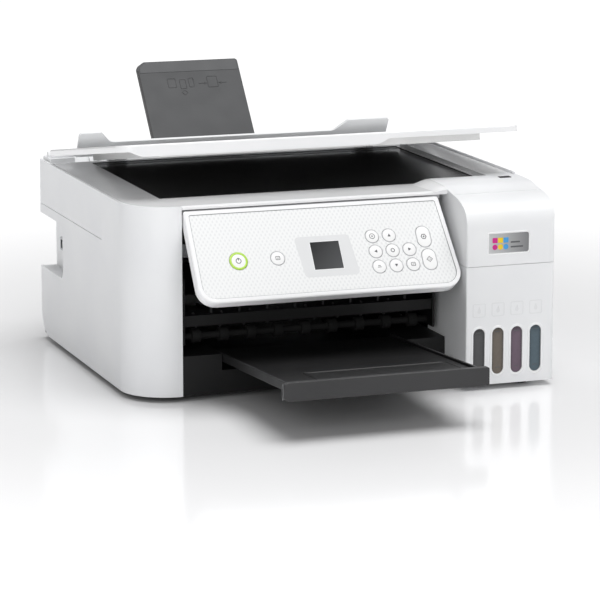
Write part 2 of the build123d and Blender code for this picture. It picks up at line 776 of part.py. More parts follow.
# ---- lid, drawn at its resting angle ----
LID_RISE = LID_TOP - LID_AXIS[1]
LID_POCKET_LEFT = GLASS_LEFT + 4.0
LID_POCKET_FRONT = -LID_LENGTH + 12.0
LID_CELL_X = (GLASS_RIGHT - 5.0 - LID_POCKET_LEFT) / 4
LID_CELL_Y = (LID_LENGTH - 28.0) / 2
LID_PLANE = Plane(
    origin=(0, FOOTPRINT_SHIFT + LID_AXIS[0], LID_AXIS[1]),
    x_dir=(1, 0, 0),
    z_dir=(0, sin(radians(LID_OPEN)), cos(radians(LID_OPEN))),
)
MAT_FRONT = TANK_REAR - LID_AXIS[0] + MAT_FRONT_GAP
MAT_LEFT = GLASS_LEFT - 0.5
MAT_RIGHT = GLASS_RIGHT - 1.0
with BuildPart() as lid_shell:
    prism(
        LID_PLANE.offset(LID_RISE - LID_PLATE),
        [
            (-HALF_WIDTH, -LID_LENGTH),
            (HALF_WIDTH, -LID_LENGTH),
            (HALF_WIDTH, LID_NOTCH_FRONT),
            (HALF_WIDTH - LID_NOTCH, LID_NOTCH_FRONT + LID_NOTCH),
            (HALF_WIDTH - LID_NOTCH, LID_TAIL),
            (-HALF_WIDTH, LID_TAIL),
        ],
        LID_PLATE,
        [LID_CORNER_R, 6.0, 0, 0, 3.0, 3.0],
    )
    fillet(lid_shell.edges().group_by(SortBy.LENGTH)[-1].sort_by(Axis.Z)[-1], 1.8)
    slab(
        LID_PLANE,
        (LID_LIP_LEFT, LID_LIP_RIGHT),
        (-LID_LENGTH, -LID_LENGTH + 3.0),
        (LID_RISE - LID_LIP, LID_RISE - LID_PLATE),
    )
    for column in range(4):
        for row in range(2):
            x = LID_POCKET_LEFT + column * LID_CELL_X
            y = LID_POCKET_FRONT + row * LID_CELL_Y
            slab(
                LID_PLANE,
                (x, x + LID_CELL_X - LID_RIB),
                (y, y + LID_CELL_Y - LID_RIB),
                (LID_RISE - LID_PLATE - 1, LID_RISE - LID_SKIN),
                Mode.SUBTRACT,
            )
    for direction in (-1, 1):
        barrel = (
            direction * LID_BARREL_X - LID_BARREL_WIDTH / 2,
            direction * LID_BARREL_X + LID_BARREL_WIDTH / 2,
        )
        rod(barrel, LID_AXIS, LID_BARREL_R)
        slab(LID_PLANE, barrel, (-LID_BARREL_R, LID_TAIL), (0, LID_RISE - LID_PLATE))
        reach = LID_BARREL_WIDTH / 2 + 0.3 + LID_LUG_WIDTH - 1.0
        inner = direction * LID_BARREL_X
        outer = direction * (LID_BARREL_X + reach)
        rod((min(inner, outer), max(inner, outer)), LID_AXIS, LID_PIN_R)
lid_shell.part.label = "lid_shell"

with BuildPart() as lid_mat:
    prism(
        LID_PLANE.offset(LID_RISE - LID_PLATE - MAT_THICKNESS),
        [
            (MAT_LEFT, MAT_FRONT),
            (MAT_RIGHT, MAT_FRONT),
            (MAT_RIGHT, -LID_BARREL_R - 4.5),
            (MAT_LEFT, -LID_BARREL_R - 4.5),
        ],
        MAT_THICKNESS,
        4.0,
    )
lid_mat.part.label = "lid_mat"

# ---- control panel ----
PANEL_PLANE = sloped(PANEL_TOP, PANEL_TILT, 1)
PANEL_AXIS = (
    PANEL_TOP[0] - PANEL_AXIS_DOWN * PANEL_SINE + PANEL_AXIS_DEEP * PANEL_COSINE,
    PANEL_TOP[1] - PANEL_AXIS_DOWN * PANEL_COSINE - PANEL_AXIS_DEEP * PANEL_SINE,
)
PANEL_OUTLINE = [
    (PANEL_LEFT, 0),
    (PANEL_LEFT, -PANEL_LENGTH),
    (PANEL_RIGHT_LOW, -PANEL_LENGTH),
    (PANEL_RIGHT_TOP, 0),
]
FASCIA_OUTLINE = [
    (PANEL_LEFT + FASCIA_INSET, -FASCIA_INSET),
    (PANEL_LEFT + FASCIA_INSET, -PANEL_LENGTH + FASCIA_INSET),
    (PANEL_RIGHT_LOW - FASCIA_INSET, -PANEL_LENGTH + FASCIA_INSET),
    (PANEL_RIGHT_TOP - FASCIA_INSET, -FASCIA_INSET),
]
FASCIA_R = PANEL_CORNER_R - FASCIA_INSET
PANEL_BOSSES = ((-124.4, -116.0, -1), (71.0, 79.4, 1))


def button_shape(kind, grow):
    """A button's outline, grown all round by a clearance."""
    if kind == "oval":
        SlotOverall(OVAL_HEIGHT + 2 * grow, OVAL_WIDTH + 2 * grow, rotation=90)
    else:
        Circle({"power": POWER_R, "network": NETWORK_R, "key": KEY_R}[kind] + grow)


with BuildPart() as panel_frame:
    prism(
        PANEL_PLANE.offset(-PANEL_DEPTH),
        PANEL_OUTLINE,
        PANEL_DEPTH,
        [2.0, PANEL_CORNER_R, PANEL_CORNER_R, 2.0],
    )
    chamfer(panel_frame.faces().sort_by(Axis((0, 0, 0), PANEL_PLANE.z_dir))[-1].edges(), 0.8)
    prism(
        PANEL_PLANE.offset(-FASCIA_THICKNESS - FASCIA_SINK),
        FASCIA_OUTLINE,
        FASCIA_THICKNESS + FASCIA_SINK + 1,
        [2.0, FASCIA_R, FASCIA_R, 2.0],
        Mode.SUBTRACT,
    )
    prism(
        PANEL_PLANE.offset(-PANEL_DEPTH - 1),
        [
            (PANEL_LEFT + PANEL_SKIN, -PANEL_SKIN),
            (PANEL_LEFT + PANEL_SKIN, -PANEL_LENGTH + PANEL_SKIN),
            (PANEL_RIGHT_LOW - PANEL_SKIN, -PANEL_LENGTH + PANEL_SKIN),
            (PANEL_RIGHT_TOP - PANEL_SKIN, -PANEL_SKIN),
        ],
        PANEL_DEPTH + 1 - FASCIA_SINK - FASCIA_THICKNESS - 1.0,
        [2.0, PANEL_CORNER_R - PANEL_SKIN, PANEL_CORNER_R - PANEL_SKIN, 2.0],
        Mode.SUBTRACT,
    )
    for low, high, direction in PANEL_BOSSES:
        rod((low, high), PANEL_AXIS, PANEL_BOSS_R)
        slab(
            PANEL_PLANE,
            (low, high),
            (-PANEL_AXIS_DOWN - PANEL_BOSS_R, -PANEL_SKIN / 2),
            (-PANEL_AXIS_DEEP, -FASCIA_SINK - FASCIA_THICKNESS - 0.5),
        )
        rod((low, high), PANEL_AXIS, PANEL_PIN_R + PIN_GAP, Mode.SUBTRACT)
    for x, down, kind in BUTTONS.values():
        with BuildSketch(PANEL_PLANE.offset(-PANEL_DEPTH)) as hole:
            with Locations((x, -down)):
                button_shape(kind, BUTTON_GAP + 0.6)
        extrude(hole.sketch, amount=PANEL_DEPTH, mode=Mode.SUBTRACT)
panel_frame.part.label = "panel_frame"

with BuildPart() as panel_fascia:
    prism(
        PANEL_PLANE.offset(-FASCIA_THICKNESS - FASCIA_SINK),
        [
            (FASCIA_OUTLINE[0][0] + 0.2, FASCIA_OUTLINE[0][1] - 0.2),
            (FASCIA_OUTLINE[1][0] + 0.2, FASCIA_OUTLINE[1][1] + 0.2),
            (FASCIA_OUTLINE[2][0] - 0.2, FASCIA_OUTLINE[2][1] + 0.2),
            (FASCIA_OUTLINE[3][0] - 0.2, FASCIA_OUTLINE[3][1] - 0.2),
        ],
        FASCIA_THICKNESS,
        [1.8, FASCIA_R - 0.2, FASCIA_R - 0.2, 1.8],
    )
    slab(
        PANEL_PLANE,
        (LCD_X - LCD_WIDTH / 2, LCD_X + LCD_WIDTH / 2),
        (-LCD_DOWN - LCD_HEIGHT / 2, -LCD_DOWN + LCD_HEIGHT / 2),
        (-FASCIA_THICKNESS - FASCIA_SINK - 1, 1),
        Mode.SUBTRACT,
    )
    for x, down, kind in BUTTONS.values():
        with BuildSketch(PANEL_PLANE.offset(-FASCIA_THICKNESS - FASCIA_SINK - 1)) as hole:
            with Locations((x, -down)):
                button_shape(kind, BUTTON_GAP)
        extrude(hole.sketch, amount=FASCIA_THICKNESS + 2, mode=Mode.SUBTRACT)
panel_fascia.part.label = "panel_fascia"

with BuildPart() as lcd_screen:
    slab(
        PANEL_PLANE,
        (LCD_X - LCD_WIDTH / 2 + 0.1, LCD_X + LCD_WIDTH / 2 - 0.1),
        (-LCD_DOWN - LCD_HEIGHT / 2 + 0.1, -LCD_DOWN + LCD_HEIGHT / 2 - 0.1),
        (-FASCIA_THICKNESS - FASCIA_SINK, -FASCIA_SINK - 0.2),
    )
lcd_screen.part.label = "lcd_screen"

panel_buttons = {}
for name, (x, down, kind) in BUTTONS.items():
    with BuildPart() as button:
        with BuildSketch(PANEL_PLANE.offset(-FASCIA_SINK + BUTTON_RISE - BUTTON_THICKNESS)) as outline:
            with Locations((x, -down)):
                button_shape(kind, 0)
        extrude(outline.sketch, amount=BUTTON_THICKNESS)
    button.part.label = name
    panel_buttons[name] = button

BOARD_THICKNESS = 1.6
BOARD_TOP = -FASCIA_SINK + BUTTON_RISE - BUTTON_THICKNESS - BUTTON_TRAVEL - 0.4
with BuildPart() as panel_board:
    slab(
        PANEL_PLANE,
        (PANEL_LEFT + 8, PANEL_RIGHT_TOP - 6),
        (-PANEL_LENGTH + 16, -PANEL_AXIS_DOWN - PANEL_BOSS_R - 4),
        (BOARD_TOP - BOARD_THICKNESS, BOARD_TOP),
    )
panel_board.part.label = "panel_board"

ARM_WIDTH = 3.0
ARM_R = 3.0
BEAM = ((-112.0, -106.0), (136.0, 148.0))
with BuildPart() as panel_bracket:
    block((FRAME_LEFT + FRAME_PLATE, FRAME_RIGHT - FRAME_PLATE), BEAM[0], BEAM[1])
    for low, high, direction in PANEL_BOSSES:
        if direction < 0:
            arm = (low - 0.4 - ARM_WIDTH, low - 0.4)
            pin = (low - 0.4, high - 1.0)
        else:
            arm = (high + 0.4, high + 0.4 + ARM_WIDTH)
            pin = (low + 1.0, high + 0.4)
        rod(arm, PANEL_AXIS, ARM_R)
        prism(
            side(arm[0]),
            [
                (PANEL_AXIS[0] - ARM_R * 0.7, PANEL_AXIS[1] - ARM_R * 0.7),
                (BEAM[0][0] + 1, BEAM[1][0]),
                (BEAM[0][0] + 1, BEAM[1][1]),
                (PANEL_AXIS[0] + ARM_R * 0.7, PANEL_AXIS[1] + ARM_R * 0.7),
            ],
            ARM_WIDTH,
        )
        rod(pin, PANEL_AXIS, PANEL_PIN_R)
panel_bracket.part.label = "panel_bracket"

# ---- output tray ----
TRAY_PLANE = Plane(
    origin=(OPENING_MIDDLE, FOOTPRINT_SHIFT + TRAY_FRONT, TRAY_TOP),
    x_dir=(1, 0, 0),
    z_dir=(0, sin(radians(TRAY_SLOPE)), cos(radians(TRAY_SLOPE))),
)
TRAY_HALF = TRAY_WIDTH / 2
TRAY_START = BAR_DEPTH + 0.9
RIM_INNER = TRAY_HALF - TRAY_RIM_WALL
FLAP_MIDDLE = (FLAP_LEFT + FLAP_RIGHT) / 2 - OPENING_MIDDLE
FLAP_HALF = (FLAP_RIGHT - FLAP_LEFT) / 2
FLAP_REAR = TRAY_START + 2.0 + FLAP_LENGTH
FLAP_AXIS_Y = TRAY_START + 2.0 + 1.6
FLOOR_TOP = -TRAY_RIM + TRAY_FLOOR
FLAP_AXIS_Z = FLOOR_TOP + 2.1
FLAP_LUG = 2.5
TRAY_SIDE = Plane(TRAY_PLANE.origin, x_dir=TRAY_PLANE.y_dir, z_dir=(1, 0, 0))
with BuildPart() as output_tray:
    slab(TRAY_PLANE, (-TRAY_HALF, TRAY_HALF), (TRAY_START, TRAY_LENGTH), (-TRAY_RIM, FLOOR_TOP))
    for direction in (-1, 1):
        rail = sorted((direction * RIM_INNER, direction * TRAY_HALF))
        slab(TRAY_PLANE, rail, (TRAY_START, TRAY_LENGTH), (FLOOR_TOP, 0))
    slab(TRAY_PLANE, (-RIM_INNER, RIM_INNER), (TRAY_START, TRAY_START + 1.6), (FLOOR_TOP, -1.2))
    for direction in (-1, 1):
        near = FLAP_MIDDLE + direction * (FLAP_HALF + 0.3)
        far = near + direction * FLAP_LUG
        lug = (min(near, far), max(near, far))
        slab(TRAY_PLANE, lug, (FLAP_AXIS_Y - 2.0, FLAP_AXIS_Y + 2.0), (FLOOR_TOP, FLAP_AXIS_Z + 1.9))
        with BuildSketch(TRAY_SIDE.offset(lug[0] - 0.1)) as bore:
            with Locations((FLAP_AXIS_Y, FLAP_AXIS_Z)):
                Circle(FLAP_PIN_R + PIN_GAP)
        extrude(bore.sketch, amount=FLAP_LUG + 0.2, mode=Mode.SUBTRACT)
output_tray.part.label = "output_tray"

NOTCH_HALF = 16.0
NOTCH_DEPTH = 5.0
with BuildPart() as tray_stopper:
    slab(
        TRAY_PLANE,
        (FLAP_MIDDLE - FLAP_HALF, FLAP_MIDDLE + FLAP_HALF),
        (FLAP_AXIS_Y, FLAP_REAR),
        (FLOOR_TOP + 0.4, FLOOR_TOP + 0.4 + FLAP_THICKNESS),
    )
    slab(
        TRAY_PLANE,
        (FLAP_MIDDLE - NOTCH_HALF, FLAP_MIDDLE + NOTCH_HALF),
        (FLAP_REAR - NOTCH_DEPTH, FLAP_REAR + 1),
        (FLOOR_TOP, FLOOR_TOP + 5),
        Mode.SUBTRACT,
    )
    with BuildSketch(TRAY_SIDE.offset(FLAP_MIDDLE - FLAP_HALF)) as barrel:
        with Locations((FLAP_AXIS_Y, FLAP_AXIS_Z)):
            Circle(1.7)
    extrude(barrel.sketch, amount=2 * FLAP_HALF)
    with BuildSketch(TRAY_SIDE.offset(FLAP_MIDDLE - FLAP_HALF - 0.3 - FLAP_LUG + 0.3)) as pin:
        with Locations((FLAP_AXIS_Y, FLAP_AXIS_Z)):
            Circle(FLAP_PIN_R)
    extrude(pin.sketch, amount=2 * (FLAP_HALF + FLAP_LUG))
tray_stopper.part.label = "tray_stopper"

with BuildPart() as tray_extension:
    prism(
        front(TRAY_FRONT + BAR_DEPTH),
        box_points(
            (OPENING_MIDDLE - BAR_WIDTH / 2, TRAY_TOP + BAR_RISE - BAR_HEIGHT),
            (OPENING_MIDDLE + BAR_WIDTH / 2, TRAY_TOP + BAR_RISE),
        ),
        BAR_DEPTH,
        [5.0, 1.5, 1.5, 5.0],
    )
    slab(
        TRAY_PLANE,
        (-EXTENSION_WIDTH / 2, EXTENSION_WIDTH / 2),
        (BAR_DEPTH / 2, EXTENSION_LENGTH),
        (-TRAY_RIM - 0.4 - EXTENSION_THICKNESS, -TRAY_RIM - 0.4),
    )
tray_extension.part.label = "tray_extension"

# ---- rear paper feed ----
FEED_PLANE = sloped(FEED_POINT, FEED_LEAN, 1)
with BuildPart() as paper_support:
    prism(
        FEED_PLANE.offset(-SUPPORT_THICKNESS),
        [
            (SUPPORT_LEFT, -SUPPORT_TAIL),
            (SUPPORT_RIGHT, -SUPPORT_TAIL),
            (SUPPORT_RIGHT, SUPPORT_TOP),
            (SUPPORT_LEFT + SUPPORT_CHAMFER, SUPPORT_TOP),
            (SUPPORT_LEFT, SUPPORT_TOP - SUPPORT_CHAMFER * 0.7),
        ],
        SUPPORT_THICKNESS,
        [2.0, 2.0, 3.0, 4.0, 4.0],
    )
paper_support.part.label = "paper_support"

POCKET_TOP = -2.0
RAIL_REACH = 2.4
SUPPORT_RAILS = (
    (SUPPORT_LEFT - POCKET_GAP - RAIL_REACH, SUPPORT_LEFT - POCKET_GAP),
    (SUPPORT_RIGHT + POCKET_GAP, SUPPORT_RIGHT + POCKET_GAP + RAIL_REACH),
)
FEED_BACK = -SUPPORT_THICKNESS - POCKET_GAP
DECK_BOTTOM = RECESS_TOP + RECESS_SKIN + 1.0
with BuildPart() as feed_hopper:
    slab(FEED_PLANE, (FEED_LEFT, FEED_RIGHT), (-POCKET_DEPTH, POCKET_TOP), (FEED_BACK - WALL, FEED_BACK))
    for low, high in SUPPORT_RAILS:
        slab(FEED_PLANE, (low, high), (-POCKET_DEPTH, POCKET_TOP), (FEED_BACK, 0))
    for low, high in (
        (SUPPORT_RAILS[0][0], SUPPORT_LEFT + 3.0),
        (SUPPORT_RIGHT - 3.0, SUPPORT_RAILS[1][1]),
    ):
        slab(FEED_PLANE, (low, high), (-POCKET_DEPTH, POCKET_TOP - 10), (POCKET_GAP, POCKET_GAP + 1.6))
    for low, high in SUPPORT_RAILS:
        slab(FEED_PLANE, (low, high), (-POCKET_DEPTH, POCKET_TOP - 10), (0, POCKET_GAP + 0.1))
    for low, high in ((SCAN_LEFT, FEED_LEFT), (FEED_RIGHT, SCAN_RIGHT)):
        block((low, high), (DECK_FRONT, CASE_REAR - WALL - SEAM_GAP), (DECK_BOTTOM, DECK_TOP))
        block(
            (low + WALL, high - WALL),
            (DECK_FRONT + WALL, CASE_REAR - WALL - SEAM_GAP - WALL),
            (DECK_BOTTOM - 1, DECK_TOP - WALL),
            Mode.SUBTRACT,
        )
        rod((low, high), GUARD_AXIS, 4.0)
    rod((FEED_LEFT - 10, FEED_LEFT + 0.1), GUARD_AXIS, GUARD_PIN_R + PIN_GAP, Mode.SUBTRACT)
    rod((FEED_RIGHT - 0.1, FEED_RIGHT + 10), GUARD_AXIS, GUARD_PIN_R + PIN_GAP, Mode.SUBTRACT)
    for direction in (-1, 1):
        for offset in (-1, 1):
            from_ear = SCAN_EAR_WIDTH / 2 + BRACKET_GAP + BRACKET_WIDTH / 2
            middle = direction * SCAN_EAR_X + offset * from_ear
            ear = (middle - BRACKET_WIDTH / 2, middle + BRACKET_WIDTH / 2)
            rod(ear, SCAN_AXIS, BRACKET_R)
            block(ear, (SCAN_AXIS[0], DECK_FRONT + WALL), (SCAN_AXIS[1] - BRACKET_R, SCAN_AXIS[1] + 3))
            rod(ear, SCAN_AXIS, SCAN_PIN_R, Mode.SUBTRACT)
feed_hopper.part.label = "feed_hopper"

with BuildPart() as scanner_hinge_pins:
    for direction in (-1, 1):
        reach = SCAN_EAR_WIDTH / 2 + BRACKET_GAP + BRACKET_WIDTH
        rod((direction * SCAN_EAR_X - reach, direction * SCAN_EAR_X + reach), SCAN_AXIS, SCAN_PIN_R)
scanner_hinge_pins.part.label = "scanner_hinge_pins"

GUARD_PLANE = sloped(GUARD_AXIS, -GUARD_LEAN, 1)
EAR_LEFT_INNER = -125.6
EAR_RIGHT_INNER = 98.0
with BuildPart() as feeder_guard:
    rod((GUARD_LEFT, GUARD_RIGHT), GUARD_AXIS, GUARD_BARREL_R)
    with BuildSketch(GUARD_PLANE.offset(-GUARD_THICKNESS / 2)) as plate:
        with BuildLine():
            FilletPolyline(
                (GUARD_LEFT, 0),
                (GUARD_RIGHT, 0),
                (GUARD_RIGHT, GUARD_EAR),
                (EAR_RIGHT_INNER + 13.0, GUARD_EAR),
                (EAR_RIGHT_INNER, GUARD_BAND),
                (EAR_LEFT_INNER, GUARD_BAND),
                (EAR_LEFT_INNER - 10.0, GUARD_EAR),
                (GUARD_LEFT, GUARD_EAR),
                radius=[0, 0, 3.0, 3.0, 9.0, 9.0, 3.0, 3.0],
                close=True,
            )
        make_face()
    extrude(plate.sketch, amount=GUARD_THICKNESS)
    rod((FEED_LEFT - 4.0, GUARD_LEFT + 1), GUARD_AXIS, GUARD_PIN_R)
    rod((GUARD_RIGHT - 1, FEED_RIGHT + 4.0), GUARD_AXIS, GUARD_PIN_R)
feeder_guard.part.label = "feeder_guard"

edge_guides = {}
for name, x, direction in (("left_edge_guide", GUIDE_LEFT_X, -1), ("right_edge_guide", GUIDE_RIGHT_X, 1)):
    with BuildPart() as guide:
        inner, outer = x, x + direction * GUIDE_WIDTH
        slab(FEED_PLANE, sorted((inner, outer)), (GUIDE_LOW, -3), (FEED_BACK + 0.3, FEED_BACK + 2.0))
        fence = x + direction * 2.0
        slab(FEED_PLANE, (min(x, fence), max(x, fence)), (GUIDE_LOW, -3), (FEED_BACK + 1.9, GUIDE_HEIGHT))
    guide.part.label = name
    edge_guides[name] = guide

# ---- mechanism inside ----
with BuildPart() as inner_frame:
    for low, high in ((FRAME_LEFT, FRAME_LEFT + FRAME_PLATE), (FRAME_RIGHT - FRAME_PLATE, FRAME_RIGHT)):
        prism(
            side(low),
            [
                (FRAME_FRONT, FRAME_BOTTOM),
                (FRAME_REAR, FRAME_BOTTOM),
                (FRAME_REAR, FRAME_TOP),
                (FRAME_FRONT + 34, FRAME_TOP),
                (FRAME_FRONT, FRAME_TOP - 40),
            ],
            high - low,
        )
        for centre in (FEED_ROLLER, EXIT_ROLLER):
            rod((low, high), centre, SHAFT_R + PIN_GAP, Mode.SUBTRACT)
    TIE = (FRAME_LEFT + FRAME_PLATE, FRAME_RIGHT - FRAME_PLATE)
    block(TIE, (FRAME_REAR - 30, FRAME_REAR - 27), (FRAME_BOTTOM, FRAME_BOTTOM + 30))
    block(TIE, (RAIL_Y + 20, RAIL_Y + 23), (RAIL_Z + 10, RAIL_Z + 40))
    block(TIE, (FRAME_FRONT + 34, FRAME_FRONT + 37), (FRAME_TOP - 16, FRAME_TOP))
inner_frame.part.label = "inner_frame"

with BuildPart() as platen:
    block(TIE, (-84.0, -10.0), (PLATEN_Z - 4.0, PLATEN_Z))
    for index in range(14):
        rib = TIE[0] + 12 + index * (TIE[1] - TIE[0] - 24) / 13
        block((rib - 1, rib + 1), (-84.0, -10.0), (PLATEN_Z, PLATEN_Z + 2.0))
platen.part.label = "platen"

WHEEL_COUNT = 9
with BuildPart() as exit_guide:
    block(TIE, (-112.0, -88.0), (70.0, 72.5))
    block(TIE, (-112.0, -109.5), (63.0, 70.0))
    for index in range(WHEEL_COUNT):
        wheel = TIE[0] + 14 + index * (TIE[1] - TIE[0] - 28) / (WHEEL_COUNT - 1)
        block((wheel - 5, wheel - 3.5), (-109.5, -88.0), (62.0, 70.0))
        block((wheel + 3.5, wheel + 5), (-109.5, -88.0), (62.0, 70.0))
        rod((wheel - 3.5, wheel + 3.5), (EXIT_ROLLER[0], 65.5), 1.5)
        rod((wheel - 1.5, wheel + 1.5), (EXIT_ROLLER[0], 65.5), 5.5)
exit_guide.part.label = "exit_guide"

with BuildPart() as exit_roller:
    rod((FRAME_LEFT - 3, FRAME_RIGHT + 3), EXIT_ROLLER, SHAFT_R)
    for index in range(WHEEL_COUNT):
        wheel = TIE[0] + 14 + index * (TIE[1] - TIE[0] - 28) / (WHEEL_COUNT - 1)
        rod((wheel - 4, wheel + 4), EXIT_ROLLER, EXIT_ROLLER_R)
exit_roller.part.label = "exit_roller"

with BuildPart() as feed_roller:
    rod((FRAME_LEFT - 3, FRAME_RIGHT + 3), FEED_ROLLER, SHAFT_R)
    rod((OPENING_MIDDLE - 28, OPENING_MIDDLE + 28), FEED_ROLLER, FEED_ROLLER_R)
feed_roller.part.label = "feed_roller"

with BuildPart() as carriage_rail:
    block(TIE, (RAIL_Y, RAIL_Y + RAIL_THICKNESS), (RAIL_Z, RAIL_Z + RAIL_HEIGHT))
    block(TIE, (RAIL_Y + RAIL_THICKNESS, RAIL_Y + 15), (RAIL_Z, RAIL_Z + RAIL_THICKNESS))
carriage_rail.part.label = "carriage_rail"

CARRIAGE_FRONT = -46.0
with BuildPart() as print_carriage:
    CAR = (CARRIAGE_X - CARRIAGE_WIDTH / 2, CARRIAGE_X + CARRIAGE_WIDTH / 2)
    block(CAR, (CARRIAGE_FRONT, RAIL_Y - 0.4), (PLATEN_Z + 6, 118.0))
    block(
        (CAR[0] + 3, CAR[1] - 3),
        (CARRIAGE_FRONT + 3, RAIL_Y - 12),
        (88.0, 119.0),
        Mode.SUBTRACT,
    )
    rail_back = RAIL_Y + RAIL_THICKNESS
    rail_top = RAIL_Z + RAIL_HEIGHT + 0.4
    block(CAR, (RAIL_Y - 0.4, rail_back + 6), (rail_top, rail_top + 4.6))
    block(CAR, (rail_back + 0.4, rail_back + 6), (RAIL_Z + 12, rail_top))
    block(CAR, (RAIL_Y - 1, RAIL_Y - 0.4), (118.0, RAIL_Z + RAIL_HEIGHT + 5))
print_carriage.part.label = "print_carriage"

with BuildPart() as main_board:
    block((-180.0, -178.4), (-60.0, 80.0), (30.0, 120.0))
    for y, z in ((-40.0, 50.0), (20.0, 60.0), (50.0, 95.0)):
        block((-178.4, -172.0), (y - 9, y + 9), (z - 9, z + 9))
main_board.part.label = "main_board"

with BuildPart() as power_supply:
    block((104.0, 176.0), (20.0, 110.0), (FOOT_HEIGHT + BASE_FLOOR, 50.0))
    for index in range(6):
        vent = 112.0 + index * 10
        block((vent, vent + 3), (30.0, 100.0), (48.0, 51.0), Mode.SUBTRACT)
power_supply.part.label = "power_supply"

with BuildPart() as ac_inlet:
    block(
        (INLET_X - INLET_WIDTH / 2 + 0.2, INLET_X + INLET_WIDTH / 2 - 0.2),
        (150.0, CASE_REAR - 0.4),
        (INLET_Z - INLET_HEIGHT / 2 + 0.2, INLET_Z + INLET_HEIGHT / 2 - 0.2),
    )
    with BuildSketch(front(CASE_REAR)) as socket:
        with Locations((INLET_X, INLET_Z)):
            SlotOverall(17.0, 9.5)
    extrude(socket.sketch, amount=13.0, mode=Mode.SUBTRACT)
    with BuildSketch(front(CASE_REAR - 3.0)) as pins:
        with Locations((INLET_X - 4.3, INLET_Z), (INLET_X + 4.3, INLET_Z)):
            Circle(1.2)
    extrude(pins.sketch, amount=11.0)
ac_inlet.part.label = "ac_inlet"

USB_Y = 140.0
USB_Z = 95.0
RECESS_FACE = -HALF_WIDTH + RECESS_DEPTH
with BuildPart() as usb_port:
    block((RECESS_FACE - 3.0, RECESS_FACE), (USB_Y - 6.5, USB_Y + 6.5), (USB_Z - 6.0, USB_Z + 6.0))
    block(
        (RECESS_FACE - 3.1, RECESS_FACE - 0.8),
        (USB_Y - 4.5, USB_Y + 4.5),
        (USB_Z - 4.0, USB_Z + 4.0),
        Mode.SUBTRACT,
    )
    block((RECESS_FACE - 2.4, RECESS_FACE - 0.7), (USB_Y - 2.8, USB_Y + 2.8), (USB_Z - 1.5, USB_Z + 1.5))
usb_port.part.label = "usb_port"

FOOT_R = 9.0
FEET = ((-158.0, -96.0), (162.0, -150.0), (-158.0, 140.0), (162.0, 140.0))
with BuildPart() as rubber_feet:
    for x, y in FEET:
        post(x, y, (0, FOOT_HEIGHT), FOOT_R)
    fillet(rubber_feet.edges().group_by(Axis.Z)[0], 0.8)
rubber_feet.part.label = "rubber_feet"

with BuildPart() as case_screws:
    for x in (-165.0, -40.0, 60.0, 165.0):
        for z in (18.0, 150.0):
            with BuildSketch(front(CASE_REAR)) as head:
                with Locations((x, z)):
                    Circle(SCREW_R)
            extrude(head.sketch, amount=-1.2)
            with BuildSketch(front(CASE_REAR + 1.2)) as cross:
                with Locations((x, z)):
                    Rectangle(3.0, 0.8)
                    Rectangle(0.8, 3.0)
            extrude(cross.sketch, amount=0.6, mode=Mode.SUBTRACT)
case_screws.part.label = "case_screws"

os.makedirs("parts", exist_ok=True)
PIECES = [
    base_frame,
    left_side_cover,
    upper_side_cover,
    right_side_cover,
    rear_cover,
    tank_housing,
    *ink_tanks.values(),
    *tank_caps.values(),
    scanner_frame,
    scanner_glass,
    scan_bar,
    tank_cover,
    tank_badge,
    lid_shell,
    lid_mat,
    panel_frame,
    panel_fascia,
    lcd_screen,
    panel_board,
    *panel_buttons.values(),
    panel_bracket,
    output_tray,
    tray_stopper,
    tray_extension,
    paper_support,
    feed_hopper,
    scanner_hinge_pins,
    feeder_guard,
    *edge_guides.values(),
    inner_frame,
    platen,
    exit_guide,
    exit_roller,
    feed_roller,
    carriage_rail,
    print_carriage,
    main_board,
    power_supply,
    ac_inlet,
    usb_port,
    rubber_feet,
    case_screws,
]
for piece in PIECES:
    export_step(piece.part, f"parts/{piece.part.label}.step")
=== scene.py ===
"""Dresses an all-in-one ink-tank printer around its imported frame, in metres."""

import json
import logging
import math
from dataclasses import dataclass
from enum import Enum
from typing import Any, Sequence

import bmesh
import bpy
import numpy as np
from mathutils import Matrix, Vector


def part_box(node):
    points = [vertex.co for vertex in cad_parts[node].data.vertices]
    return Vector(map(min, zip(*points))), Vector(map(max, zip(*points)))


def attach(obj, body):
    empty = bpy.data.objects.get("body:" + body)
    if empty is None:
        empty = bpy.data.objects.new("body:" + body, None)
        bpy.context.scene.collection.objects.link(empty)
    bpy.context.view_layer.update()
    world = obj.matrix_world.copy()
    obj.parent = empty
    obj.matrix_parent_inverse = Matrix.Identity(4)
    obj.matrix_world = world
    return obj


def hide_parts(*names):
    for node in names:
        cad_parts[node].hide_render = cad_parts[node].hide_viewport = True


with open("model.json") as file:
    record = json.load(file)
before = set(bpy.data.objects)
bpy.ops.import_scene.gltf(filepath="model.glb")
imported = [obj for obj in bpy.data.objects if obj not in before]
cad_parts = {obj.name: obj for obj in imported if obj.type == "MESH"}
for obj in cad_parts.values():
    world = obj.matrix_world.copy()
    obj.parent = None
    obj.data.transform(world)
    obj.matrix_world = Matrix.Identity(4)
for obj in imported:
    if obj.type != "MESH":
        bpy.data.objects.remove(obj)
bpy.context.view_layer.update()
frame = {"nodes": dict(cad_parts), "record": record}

MM = 0.001
# The case's middle stands this far behind the middle of the footprint.
DEPTH_SHIFT = 36.0
BODY_NODES = frame["record"]["behaviour"]["bodies"]
LOG = logging.getLogger("printer")
# The Mix node's colour sockets, which share their names with its other types.
MIX_FIRST, MIX_SECOND, MIX_RESULT = 6, 7, 2
# A wave texture at scale 1 repeats about every 1 / 3.18 of a unit.
WAVE_REPEAT = 3.18
WELD_GAP = 0.00001
BEVEL_ANGLE = 40
SHARP_ANGLE = 32


